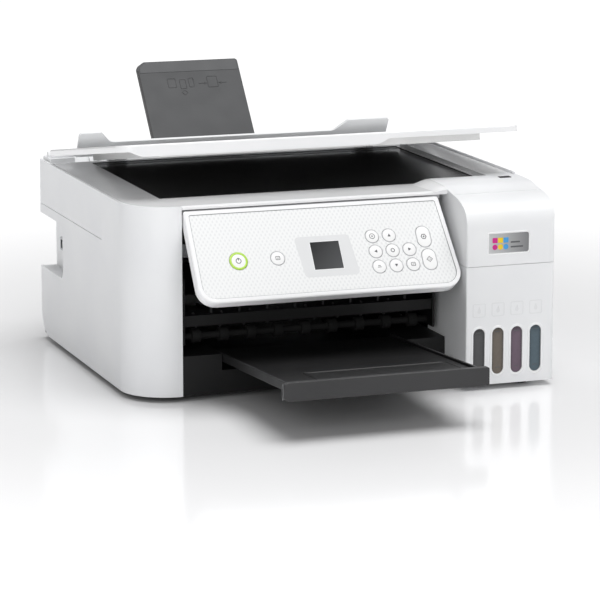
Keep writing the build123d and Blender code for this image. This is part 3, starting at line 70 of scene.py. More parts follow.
class Body(str, Enum):
    """The moving bodies that pieces ride on."""

    CASE = "case"
    SCANNER = "scanner_unit"
    LID = "lid"
    PANEL = "control_panel"
    TRAY = "output_tray"
    EXTENSION = "tray_extension"
    STOPPER = "tray_stopper"
    SUPPORT = "paper_support"


class Mark(str, Enum):
    """The small signs printed on the keys."""

    POWER = "power"
    PAGE = "page"
    DOT = "dot"
    UP = "up"
    DOWN = "down"
    LEFT = "left"
    RIGHT = "right"
    RING = "ring"
    BARS = "bars"
    STOP = "stop"
    DIAMOND = "diamond"


# ---- colour and nodes ----


def linear(colour: str) -> tuple[float, float, float, float]:
    """Turns an sRGB hex colour into linear light.

    Args:
        colour: "#RRGGBB".

    Returns:
        Red, green, blue and an alpha of one.
    """
    srgb = np.array([int(colour[i : i + 2], 16) for i in (1, 3, 5)]) / 255
    light = np.where(srgb <= 0.04045, srgb / 12.92, ((srgb + 0.055) / 1.055) ** 2.4)
    return (float(light[0]), float(light[1]), float(light[2]), 1.0)


def add(
    tree: bpy.types.NodeTree,
    kind: str,
    settings: dict[str, Any] | None = None,
    values: dict[Any, Any] | None = None,
    links: dict[Any, bpy.types.NodeSocket] | None = None,
) -> bpy.types.Node:
    """Adds one shader node.

    Args:
        tree: The material's node tree.
        kind: The node's type after "ShaderNode".
        settings: Properties of the node.
        values: Constants for its input sockets.
        links: Sockets that feed its inputs.

    Returns:
        The new node.
    """
    node = tree.nodes.new("ShaderNode" + kind)
    for name, value in (settings or {}).items():
        setattr(node, name, value)
    for name, value in (values or {}).items():
        node.inputs[name].default_value = value
    for name, source in (links or {}).items():
        tree.links.new(source, node.inputs[name])
    return node


def noise(
    tree: bpy.types.NodeTree, place: bpy.types.NodeSocket, size: float, detail: float = 3.0
) -> bpy.types.NodeSocket:
    """A cloud of values from 0 to 1 whose lumps are size millimetres across."""
    values = {"Scale": 1 / (size * MM), "Detail": detail}
    return add(tree, "TexNoise", values=values, links={"Vector": place}).outputs["Fac"]


def between(
    tree: bpy.types.NodeTree,
    source: bpy.types.NodeSocket,
    low: float,
    high: float,
    start: float = 0.0,
    end: float = 1.0,
) -> bpy.types.NodeSocket:
    """Maps a value running from low to high onto start to end, clamped."""
    values = {"From Min": low, "From Max": high, "To Min": start, "To Max": end}
    return add(tree, "MapRange", values=values, links={"Value": source}).outputs["Result"]


def blend_colours(
    tree: bpy.types.NodeTree, amount: bpy.types.NodeSocket, low: str, high: str
) -> bpy.types.NodeSocket:
    """Mixes two hex colours by a value from 0 to 1."""
    node = add(tree, "Mix", {"data_type": "RGBA"}, links={"Factor": amount})
    node.inputs[MIX_FIRST].default_value = linear(low)
    node.inputs[MIX_SECOND].default_value = linear(high)
    return node.outputs[MIX_RESULT]


def maths(tree: bpy.types.NodeTree, operation: str, first: Any, second: Any = 0.0) -> bpy.types.NodeSocket:
    """One arithmetic step on sockets or numbers."""
    node = add(tree, "Math", {"operation": operation})
    for slot, term in enumerate((first, second)):
        if isinstance(term, bpy.types.NodeSocket):
            tree.links.new(term, node.inputs[slot])
        else:
            node.inputs[slot].default_value = term
    return node.outputs[0]


# ---- finishes ----


@dataclass(frozen=True)
class Moulding:
    """Injection-moulded plastic: an even colour, a faint spark-eroded grain and soft clouding.

    The grain is drawn several times coarser than the real texture, about 0.1 to 0.2 mm, so
    that it shows.
    """

    name: str
    colour: str
    shade: str
    roughness: float = 0.4
    grain: float = 0.9
    depth: float = 0.012
    cloud: float = 70.0
    specular: float = 0.5
    coat: float = 0.0
    ior: float = 1.5
    metallic: float = 0.0

    def tint(self, tree: bpy.types.NodeTree, place: bpy.types.NodeSocket) -> bpy.types.NodeSocket:
        """The colour: two close shades drifting over the surface."""
        mix = between(tree, noise(tree, place, self.cloud), 0.3, 0.7)
        return blend_colours(tree, mix, self.shade, self.colour)

    def height(self, tree: bpy.types.NodeTree, place: bpy.types.NodeSocket) -> bpy.types.NodeSocket:
        """The relief: fine grain."""
        return noise(tree, place, self.grain, 2.0)

    def finish(self, tree: bpy.types.NodeTree, shader: bpy.types.Node, place: bpy.types.NodeSocket) -> None:
        """Extra settings; none for plain plastic."""

    def material(self) -> bpy.types.Material:
        """Makes the material once and returns it each time."""
        made = bpy.data.materials.get(self.name)
        if made:
            return made
        made = bpy.data.materials.new(self.name)
        made.use_nodes = True
        made.diffuse_color = linear(self.colour)
        tree = made.node_tree
        tree.nodes.clear()
        place = add(tree, "TexCoord").outputs["Object"]
        rough = between(tree, noise(tree, place, 22.0), 0.3, 0.7, self.roughness * 0.92, self.roughness * 1.08)
        bump = add(
            tree,
            "Bump",
            values={"Strength": 1.0, "Distance": self.depth * MM},
            links={"Height": self.height(tree, place)},
        )
        shader = add(
            tree,
            "BsdfPrincipled",
            values={
                "Metallic": self.metallic,
                "IOR": self.ior,
                "Specular IOR Level": self.specular,
                "Coat Weight": self.coat,
            },
            links={"Base Color": self.tint(tree, place), "Roughness": rough, "Normal": bump.outputs["Normal"]},
        )
        self.finish(tree, shader, place)
        output = add(tree, "OutputMaterial")
        tree.links.new(shader.outputs[0], output.inputs["Surface"])
        return made


@dataclass(frozen=True)
class HatchedFilm(Moulding):
    """Printed polycarbonate overlay with a fine woven hatch embossed in it."""

    pitch: float = 3.1

    def weave(self, tree: bpy.types.NodeTree, place: bpy.types.NodeSocket) -> bpy.types.NodeSocket:
        """Two sets of diagonal waves on the tilted face, multiplied at each point."""
        sets = []
        for turn in (math.radians(38), math.radians(-38)):
            mapped = add(
                tree,
                "Mapping",
                values={"Rotation": (0.0, turn, 0.0)},
                links={"Vector": place},
            ).outputs["Vector"]
            wave = add(
                tree,
                "TexWave",
                {"bands_direction": "X"},
                {"Scale": 1 / (self.pitch * MM) / WAVE_REPEAT, "Distortion": 0.0},
                {"Vector": mapped},
            )
            sets.append(wave.outputs["Fac"])
        return maths(tree, "MULTIPLY", sets[0], sets[1])

    def tint(self, tree: bpy.types.NodeTree, place: bpy.types.NodeSocket) -> bpy.types.NodeSocket:
        """The hatch shows as slightly greyer diamonds."""
        return blend_colours(tree, self.weave(tree, place), self.colour, self.shade)

    def height(self, tree: bpy.types.NodeTree, place: bpy.types.NodeSocket) -> bpy.types.NodeSocket:
        """The diamonds are pressed in a little."""
        return maths(tree, "MULTIPLY", self.weave(tree, place), -1.0)


@dataclass(frozen=True)
class InkWindow(Moulding):
    """Clear polypropylene tank with ink behind it, with painted shade: darker towards the window's rim and its
    top edge.
    """

    middle: float = 0.0
    half: float = 5.5
    low: float = 14.0
    high: float = 56.0

    def tint(self, tree: bpy.types.NodeTree, place: bpy.types.NodeSocket) -> bpy.types.NodeSocket:
        """Painted shade: mixes towards the darker colour by the distance from the window's middle line, to the
        fourth power, and by the nearness to the window's top.
        """
        parts = add(tree, "SeparateXYZ", links={"Vector": place}).outputs
        away = maths(tree, "ABSOLUTE", maths(tree, "SUBTRACT", parts[0], self.middle * MM))
        # Painted shade masks: edge darkens the ink towards the window's sides, top darkens it under the window's
        # top edge.
        edge = maths(tree, "POWER", between(tree, away, 0.0, self.half * MM), 4.0)
        top = maths(tree, "POWER", between(tree, parts[2], (self.high - 9) * MM, self.high * MM), 2.0)
        speckle = between(tree, noise(tree, place, 2.0), 0.25, 0.75, 0.0, 0.22)
        return blend_colours(
            tree, maths(tree, "MINIMUM", maths(tree, "ADD", maths(tree, "MAXIMUM", edge, top), speckle), 1.0),
            self.colour, self.shade,
        )


@dataclass(frozen=True)
class BadgeFilmWithPaintedSheen(Moulding):
    """Metallised label: silver that darkens towards its right end, a painted sheen standing in for the metal's
    reflection, with a fine brushing.
    """

    left: float = 0.0
    right: float = 1.0

    def tint(self, tree: bpy.types.NodeTree, place: bpy.types.NodeSocket) -> bpy.types.NodeSocket:
        """The painted sheen's gradient runs with the distance across the label."""
        parts = add(tree, "SeparateXYZ", links={"Vector": place}).outputs
        across = between(tree, parts[0], self.left * MM, self.right * MM)
        return blend_colours(tree, across, self.colour, self.shade)

    def height(self, tree: bpy.types.NodeTree, place: bpy.types.NodeSocket) -> bpy.types.NodeSocket:
        """Brushing: noise stretched along the label."""
        stretch = {"Scale": (0.04, 1.0, 1.0)}
        scaled = add(tree, "Mapping", values=stretch, links={"Vector": place}).outputs["Vector"]
        return noise(tree, scaled, 0.5, 2.0)


@dataclass(frozen=True)
class Screen(Moulding):
    """Switched-off liquid crystal display under a hard clear cover: dark grey, with a painted reflection that
    makes it lighter to the lower right.
    """

    left: float = 0.0
    right: float = 1.0
    low: float = 0.0
    high: float = 1.0

    def tint(self, tree: bpy.types.NodeTree, place: bpy.types.NodeSocket) -> bpy.types.NodeSocket:
        """A painted reflection as a diagonal gradient, with a faint pixel grid."""
        parts = add(tree, "SeparateXYZ", links={"Vector": place}).outputs
        across = between(tree, parts[0], self.left * MM, self.right * MM)
        up = between(tree, parts[2], self.high * MM, self.low * MM)
        painted_reflection = maths(tree, "MULTIPLY", maths(tree, "ADD", across, up), 0.5)
        grid = between(tree, noise(tree, place, 0.6), 0.3, 0.7, -0.02, 0.02)
        return blend_colours(tree, maths(tree, "ADD", painted_reflection, grid), self.shade, self.colour)


@dataclass(frozen=True)
class Circuit(Moulding):
    """Glass-epoxy board under solder mask: green with lighter tracks in cells."""

    def tint(self, tree: bpy.types.NodeTree, place: bpy.types.NodeSocket) -> bpy.types.NodeSocket:
        """Tracks follow the edges of small Voronoi cells."""
        cells = add(
            tree, "TexVoronoi", {"feature": "DISTANCE_TO_EDGE"}, {"Scale": 1 / (6 * MM)}, {"Vector": place}
        )
        mix = between(tree, cells.outputs["Distance"], 0.02, 0.08)
        return blend_colours(tree, mix, self.shade, self.colour)


@dataclass(frozen=True)
class Steel(Moulding):
    """Ground or plated steel: brushing along the bar and a cool grey sheen."""

    def height(self, tree: bpy.types.NodeTree, place: bpy.types.NodeSocket) -> bpy.types.NodeSocket:
        """Noise stretched across the case."""
        stretch = {"Scale": (0.05, 1.0, 1.0)}
        scaled = add(tree, "Mapping", values=stretch, links={"Vector": place}).outputs["Vector"]
        return noise(tree, scaled, 0.4, 2.0)


@dataclass(frozen=True)
class PaintedGlowFloor(Moulding):
    """Polished pale floor with a painted glow: it glows more the further it lies from the object, and not at all
    close to it.
    """

    near: float = 0.12
    far: float = 1.25
    glow: float = 0.5

    def finish(self, tree: bpy.types.NodeTree, shader: bpy.types.Node, place: bpy.types.NodeSocket) -> None:
        """The painted glow grows smoothly with the distance from the object's middle."""
        away = add(tree, "VectorMath", {"operation": "LENGTH"}, links={0: place}).outputs["Value"]
        painted_glow_strength = add(
            tree,
            "MapRange",
            {"interpolation_type": "SMOOTHSTEP"},
            {"From Min": self.near, "From Max": self.far, "To Min": 0.0, "To Max": self.glow},
            {"Value": away},
        ).outputs["Result"]
        shader.inputs["Emission Color"].default_value = linear("#FFFFFF")
        tree.links.new(painted_glow_strength, shader.inputs["Emission Strength"])


WHITE = Moulding("white_abs_satin", "#F1F2F3", "#ECEDEF", 0.42, depth=0.010)
WHITE_GLOSS = Moulding("white_abs_polished", "#F6F6F7", "#F2F3F4", 0.22, depth=0.004, coat=0.25)
WHITE_SHADE = Moulding("white_abs_textured", "#E2E3E5", "#DCDDDF", 0.5, depth=0.02)
WHITE_SIGN = Moulding("white_abs_relief", "#E9EAEB", "#E6E7E9", 0.45, depth=0.006)
GUARD = Moulding("light_grey_polystyrene", "#F3F4F5", "#ECEDEE", 0.45, depth=0.012)
BLACK = Moulding("black_polystyrene_grained", "#141415", "#0F0F10", 0.5, depth=0.03, specular=0.35)
TRAY_BLACK = Moulding("black_polystyrene_tray", "#1D1D1E", "#181819", 0.42, depth=0.02, specular=0.4)
BAR_GREY = Moulding("charcoal_polystyrene", "#3B3B3C", "#353536", 0.45, depth=0.02, specular=0.4)
SUPPORT = Moulding("dark_grey_polystyrene", "#444547", "#404143", 0.46, depth=0.025, specular=0.4)
RUBBER = Moulding("rubber_foot", "#1B1B1B", "#232323", 0.8, depth=0.05, specular=0.25)
GLASS = Moulding(
    "platen_glass_over_dark_bed", "#0D0D0E", "#121213", 0.16, depth=0.0, cloud=240.0, specular=0.12
)
FOAM = Moulding("white_foam_backing", "#E9E9E8", "#DFDFDE", 0.85, grain=1.4, depth=0.12, specular=0.2)
FASCIA = HatchedFilm("fascia_film_hatched", "#EDEEEE", "#DDDEDF", 0.35, depth=0.03)
KEY = Moulding("key_silicone_white", "#F3F3F3", "#EFEFEF", 0.38, depth=0.006)
GROOVE = Moulding("groove_shadow_grey", "#8F9092", "#898A8C", 0.6, depth=0.01)
OUTLINE_INK = Moulding("outline_ink_grey", "#CDCED0", "#C7C8CA", 0.5, depth=0.005)
ICON_INK = Moulding("icon_ink_dark", "#5B5C5F", "#555659", 0.5, depth=0.005)
LIME = Moulding("lime_light_ring", "#B6DE55", "#AEDA48", 0.3, depth=0.004)
SURROUND = Moulding("screen_surround_ink", "#DEDFE0", "#DADBDC", 0.35, depth=0.006)
STEEL = Steel("steel_ground_bar", "#9B9DA1", "#8B8D91", 0.28, metallic=1.0, depth=0.02, ior=1.5)
BOARD = Circuit("circuit_board_green", "#1E5A33", "#3D8A52", 0.4, depth=0.03)
CAP = Moulding("tank_cap_elastomer", "#26262A", "#202024", 0.6, depth=0.03)
SUPPORT_LINE = Moulding("support_sign_relief", "#323335", "#2E2F31", 0.5, depth=0.02)
# Lighter charcoal for the bar's end lips: a painted edge highlight.
PAINTED_EDGE_HIGHLIGHT = Moulding("charcoal_painted_edge_highlight", "#6E6F71", "#5F6062", 0.35, depth=0.01)


# ---- surfaces ----

Surface = tuple[np.ndarray, list[tuple[int, ...]]]


@dataclass(frozen=True)
class Face:
    """A flat reference face: across, up and out directions from a point, in case millimetres."""

    point: tuple[float, float, float]
    lean: float
    level: bool = False

    def at(self, across: np.ndarray, up: np.ndarray, out: np.ndarray) -> np.ndarray:
        """Points in the frame, in metres, for offsets in millimetres.

        The face's up direction leans back by lean degrees from upright, or, for a level
        face, its up direction runs back and falls by lean degrees.
        """
        s, c = math.sin(math.radians(self.lean)), math.cos(math.radians(self.lean))
        across, up, out = np.broadcast_arrays(across, up, out)
        if self.level:
            y, z = up * c + out * s, out * c - up * s
        else:
            y, z = up * s - out * c, up * c + out * s
        x0, y0, z0 = self.point
        return np.stack([x0 + across, y0 + DEPTH_SHIFT + y, z0 + z], axis=-1).reshape(-1, 3) * MM


def circle(x: float, y: float, radius: float, count: int = 48, stretch: float = 1.0) -> np.ndarray:
    """A circle, or an ellipse that is stretch times as high as it is wide."""
    turn = np.linspace(0, 2 * math.pi, count, endpoint=False)
    return np.stack([x + radius * np.cos(turn), y + radius * stretch * np.sin(turn)], axis=-1)


def stadium(x: float, y: float, width: float, height: float, count: int = 24) -> np.ndarray:
    """An upright slot: two half circles joined by straight sides."""
    radius, straight = width / 2, height / 2 - width / 2
    turn = np.linspace(0, math.pi, count)
    top = np.stack([x + radius * np.cos(turn), y + straight + radius * np.sin(turn)], axis=-1)
    return np.concatenate([top, np.array([2 * x, 2 * y]) - top])


def rounded(corners: Sequence[tuple[float, float]], radii: Sequence[float], steps: int = 7) -> np.ndarray:
    """A polygon whose corners are arcs.

    At each corner the arc's centre lies on the bisector, radius / sin(half the angle)
    from the corner, and the arc joins the two tangent points.
    """
    points = np.array(corners, float)
    before, after = np.roll(points, 1, 0) - points, np.roll(points, -1, 0) - points
    before /= np.linalg.norm(before, axis=1, keepdims=True)
    after /= np.linalg.norm(after, axis=1, keepdims=True)
    half = np.arccos(np.clip((before * after).sum(1), -1, 1)) / 2
    out = []
    for corner, b, a, h, r in zip(points, before, after, half, radii):
        middle = corner + (b + a) / np.linalg.norm(b + a) * r / math.sin(h)
        first, last = corner + b * r / math.tan(h) - middle, corner + a * r / math.tan(h) - middle
        start = math.atan2(first[1], first[0])
        sweep = (math.atan2(last[1], last[0]) - start + math.pi) % (2 * math.pi) - math.pi
        turn = start + np.linspace(0, sweep, steps if r > 0 else 1)
        out.append(middle + r * np.stack([np.cos(turn), np.sin(turn)], axis=-1))
    return np.concatenate(out)


def offset(outline: np.ndarray, distance: float) -> np.ndarray:
    """Moves an anticlockwise outline outwards along its normals."""
    along = np.roll(outline, -1, 0) - np.roll(outline, 1, 0)
    along /= np.maximum(np.linalg.norm(along, axis=1, keepdims=True), 1e-9)
    return outline + distance * np.stack([along[:, 1], -along[:, 0]], axis=-1)


GROUND = Face((0.0, 0.0, 0.0), 0.0, True)


def rounded_box(
    left: float, low: float, right: float, high: float, radius: float, steps: int = 7
) -> np.ndarray:
    """A rectangle whose corners are arcs of one radius."""
    return rounded([(left, low), (right, low), (right, high), (left, high)], [radius] * 4, steps)


def grid_faces(rows: int, columns: int, around: bool, closed: bool) -> list[tuple[int, ...]]:
    """Quads of a grid of rows by columns, wrapped round its columns and, if closed, its rows."""
    down, across = np.arange(rows if closed else rows - 1), np.arange(columns if around else columns - 1)
    r, c = np.meshgrid(down, across, indexing="ij")
    r, c = r.ravel(), c.ravel()
    r1, c1 = (r + 1) % rows, (c + 1) % columns
    quads = np.stack([r * columns + c, r * columns + c1, r1 * columns + c1, r1 * columns + c], axis=-1)
    return [tuple(q) for q in quads.tolist()]


def band(face: Face, outline: np.ndarray, profile: Sequence[tuple[float, float]]) -> Surface:
    """A closed section carried round an outline: section points are (outward, height)."""
    rings = [face.at(*offset(outline, out).T, height) for out, height in profile]
    return np.concatenate(rings), grid_faces(len(profile), len(outline), True, True)


def frame_band(face: Face, outline: np.ndarray, width: float, low: float, high: float) -> Surface:
    """A flat strip with softened edges, half its width each side of an outline."""
    w, soft = width / 2, min(width, high - low) * 0.3
    section = [(-w, low), (w, low), (w, high - soft), (w - soft, high), (soft - w, high), (-w, high - soft)]
    return band(face, outline, section)


def plate(face: Face, outline: np.ndarray, low: float, high: float, soft: float = 0.05) -> Surface:
    """A flat plate with a softened upper edge, closed by one face above and one below."""
    count = len(outline)
    rings = [(0.0, low), (0.0, high - soft), (-soft, high)]
    points = np.concatenate([face.at(*offset(outline, out).T, height) for out, height in rings])
    faces = grid_faces(len(rings), count, True, False)
    faces += [tuple(range(count)), tuple(range(2 * count, 3 * count))]
    return points, faces


def dome(face: Face, outline: np.ndarray, low: float, high: float, rise: float, soft: float = 0.4) -> Surface:
    """A key cap: upright sides, a rounded rim and a crown of rise * (1 - s squared) from the middle."""
    middle = outline.mean(0)
    scale = np.array([1.0, 1.0, 0.985, 0.955, 0.85, 0.65, 0.4, 0.15])
    height = high - rise + rise * (1 - scale**2)
    height[0], height[1], height[2] = low, high - rise - soft, high - rise - soft * 0.3
    rings = [face.at(*(middle + s * (outline - middle)).T, h) for s, h in zip(scale, height)]
    count = len(outline)
    points = np.concatenate(rings)
    faces = grid_faces(len(scale), count, True, False)
    faces += [tuple(range(count)), tuple(range(points.shape[0] - count, points.shape[0]))]
    return points, faces


def sweep_across(face: Face, section: np.ndarray, limits: Sequence[float]) -> Surface:
    """A closed (up, out) section carried across between limits, with both ends closed."""
    count = len(section)
    rings = [face.at(np.full(count, x), section[:, 0], section[:, 1]) for x in limits]
    faces = grid_faces(len(limits), count, True, False)
    faces += [tuple(range(count)), tuple(range(count * (len(limits) - 1), count * len(limits)))]
    return np.concatenate(rings), faces


def merge(parts: Sequence[Surface]) -> Surface:
    """Several surfaces as one."""
    starts = np.cumsum([0] + [len(p[0]) for p in parts])
    pairs = zip(parts, starts)
    faces = [tuple(i + int(start) for i in face) for (_, group), start in pairs for face in group]
    return np.concatenate([p[0] for p in parts]), faces


def make(
    name: str, surface: Surface, finish: Moulding, body: Body | str, replaced: Sequence[str] = ()
) -> None:
    """Makes a piece of the object from a surface.

    Args:
        name: The piece's name.
        surface: Points in metres and faces.
        finish: What it is made of.
        body: The CAD body that it rides on.
        replaced: CAD nodes that it stands for.
    """
    mesh = bpy.data.meshes.new(name)
    mesh.from_pydata(surface[0].tolist(), [], surface[1])
    shell = bmesh.new()
    shell.from_mesh(mesh)
    bmesh.ops.recalc_face_normals(shell, faces=shell.faces)
    shell.to_mesh(mesh)
    shell.free()
    mesh.shade_smooth()
    mesh.set_sharp_from_angle(angle=math.radians(SHARP_ANGLE))
    piece = bpy.data.objects.new(name, mesh)
    bpy.context.scene.collection.objects.link(piece)
    mesh.materials.append(finish.material())
    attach(piece, getattr(body, "value", body))
    if replaced:
        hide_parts(*replaced)
    LOG.info("piece %s: %d points in %s", name, len(mesh.vertices), finish.name)


def dress(node: str, finish: Moulding, bevel: float = 0.0) -> None:
    """Gives a CAD node its finish and, if asked, softened edges.

    Args:
        node: The node's name.
        finish: What it is made of.
        bevel: Radius of its edges in millimetres, or none.
    """
    piece = frame["nodes"][node]
    if not piece.material_slots:
        piece.data.materials.append(finish.material())
    for slot in piece.material_slots:
        slot.material = finish.material()
    if bevel:
        weld = piece.modifiers.new("close_seams", "WELD")
        weld.merge_threshold = WELD_GAP
        edge = piece.modifiers.new("soft_edges", "BEVEL")
        edge.width = bevel * MM
        edge.segments = 2
        edge.limit_method = "ANGLE"
        edge.angle_limit = math.radians(BEVEL_ANGLE)
        edge.use_clamp_overlap = True
    LOG.info("node %s: %s", node, finish.name)


# ---- sub-assemblies ----


@dataclass
class Case:
    """The lower case, its covers, feet, screws and sockets."""

    edge: float = 0.6

    def build(self) -> None:
        """Dresses the case's shells and fixings."""
        for node in ("left_side_cover", "upper_side_cover", "right_side_cover"):
            dress(node, WHITE, self.edge)
        dress("rear_cover", WHITE_SHADE, 0.4)
        dress("base_frame", BLACK, 0.5)
        dress("rubber_feet", RUBBER, 0.5)
        dress("case_screws", STEEL)
        dress("ac_inlet", BLACK, 0.3)
        dress("usb_port", STEEL)


@dataclass
class Tanks:
    """The ink-tank unit: housing, four windows, caps, cover and badge."""

    nodes: tuple[str, ...] = ("black", "yellow", "magenta", "cyan")
    # Each pair: the ink's own colour, then the darker colour of the painted shade at the window's rim and top.
    inks_with_painted_shades: tuple[tuple[str, str], ...] = (
        ("#4D4D4E", "#2A2A2B"),
        ("#6F665C", "#3F3A34"),
        ("#6B5A68", "#3C323B"),
        ("#52636D", "#2C373D"),
    )
    slot_low: float = 13.8
    slot_high: float = 55.6
    slot_width: float = 11.0
    sign_low: float = 66.3
    sign_size: float = 11.5
    face: Face = Face((0.0, -173.5, 0.0), 0.0)
    badge: tuple[float, float, float, float] = (122.7, 121.2, 162.4, 140.3)
    lip: tuple[tuple[float, float], ...] = (
        (-0.05, -1.8), (1.1, -0.4), (2.1, 0.0), (1.65, 0.48), (0.65, 0.58), (0.0, 0.25),
    )
    levels: tuple[float, float] = (19.5, 51.5)

    def middles(self) -> list[float]:
        """Where each tank's middle line is, across the case, in millimetres."""
        return [(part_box("ink_tank_" + n)[0][0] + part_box("ink_tank_" + n)[1][0]) / 2 / MM for n in self.nodes]

    def windows(self) -> None:
        """A raised lip round each window and level lines beside it."""
        height = self.slot_high - self.slot_low
        middle = self.slot_low + height / 2
        holes = [stadium(x, middle, self.slot_width, height) for x in self.middles()]
        rims = [band(self.face, hole, self.lip) for hole in holes]
        make("tank_window_lips", merge(rims), WHITE_GLOSS, Body.CASE)
        lines = []
        for x in self.middles():
            for z in self.levels:
                lines.append(plate(self.face, rounded_box(x - 2.2, z, x + 2.2, z + 0.5, 0.1, 3), -0.9, -0.55))
        make("tank_level_lines", merge(lines), ICON_INK, Body.CASE)

    def signs(self) -> None:
        """A moulded square with an ink drop above each window.

        The drop's half width is 2.3 sin(a) sin(a / 2)^1.4 and its height 3.1 cos(a).
        """
        parts = []
        for x in self.middles():
            h = self.sign_size / 2
            z = self.sign_low + h
            parts.append(frame_band(self.face, rounded_box(x - h, z - h, x + h, z + h, 1.2), 0.9, -0.1, 0.14))
            turn = np.linspace(0, 2 * math.pi, 32, endpoint=False)
            drop = np.stack(
                [x + 2.3 * np.sin(turn) * np.sin(turn / 2) ** 1.4, z + 0.2 + 3.1 * np.cos(turn)], axis=-1
            )[::-1]
            parts.append(plate(self.face, drop, -0.1, 0.1, 0.1))
        make("tank_signs", merge(parts), WHITE_SIGN, Body.CASE)

    def dress_badge(self) -> None:
        """A rounded rim round the badge and three plain colour marks on it."""
        left, low, right, high = self.badge
        corners = [(left, low), (right, low), (right, high), (left, high)]
        rim = band(
            self.face,
            rounded(corners, [0.6, 3.0, 3.0, 0.6]),
            [(-0.9, -0.75), (0.9, -0.1), (0.5, 0.3), (-0.2, 0.2), (-0.8, -0.3)],
        )
        make("badge_lip", rim, WHITE_GLOSS, Body.SCANNER)
        for name, tone, deep, start in (
            ("magenta", "#D4148C", "#C4107F", 4.2),
            ("yellow", "#F6D21E", "#EFC713", 9.4),
            ("cyan", "#4AA3E0", "#3C97D6", 14.6),
        ):
            x = left + start
            square = rounded_box(x, low + 10.0, x + 4.8, low + 14.6, 0.5, 4)
            shapes = (square, circle(x + 2.4, low + 6.3, 2.4))
            parts = [plate(self.face, shape, -0.35, -0.14) for shape in shapes]
            ink = Moulding("badge_ink_" + name, tone, deep, 0.3, depth=0.004)
            make("badge_mark_" + name, merge(parts), ink, Body.SCANNER)
        bars = []
        for row, length in enumerate((12.0, 9.0)):
            x, z = left + 21.5, low + 5.2 + row * 4.2
            bars.append(plate(self.face, rounded_box(x, z, x + length, z + 1.4, 0.6, 4), -0.35, -0.2))
        make("badge_bars", merge(bars), ICON_INK, Body.SCANNER)

    def build(self) -> None:
        """Dresses the tanks and adds their lips, signs and badge marks."""
        dress("tank_housing", WHITE, 0.5)
        dress("tank_cover", WHITE, 0.5)
        left, _, right, _ = self.badge
        film = BadgeFilmWithPaintedSheen("metallised_label", "#C9CACB", "#77787A", 0.3, 0.5, 0.01, left=left, right=right)
        dress("tank_badge", film)
        for name, x, (ink, dark) in zip(self.nodes, self.middles(), self.inks_with_painted_shades):
            finish = InkWindow(
                "ink_with_painted_rim_shade_" + name, ink, dark, 0.3, depth=0.004, middle=x, half=self.slot_width / 2,
                low=self.slot_low, high=self.slot_high,
            )
            dress("ink_tank_" + name, finish)
            dress("tank_cap_" + name, CAP, 0.3)
        self.windows()
        self.signs()
        self.dress_badge()


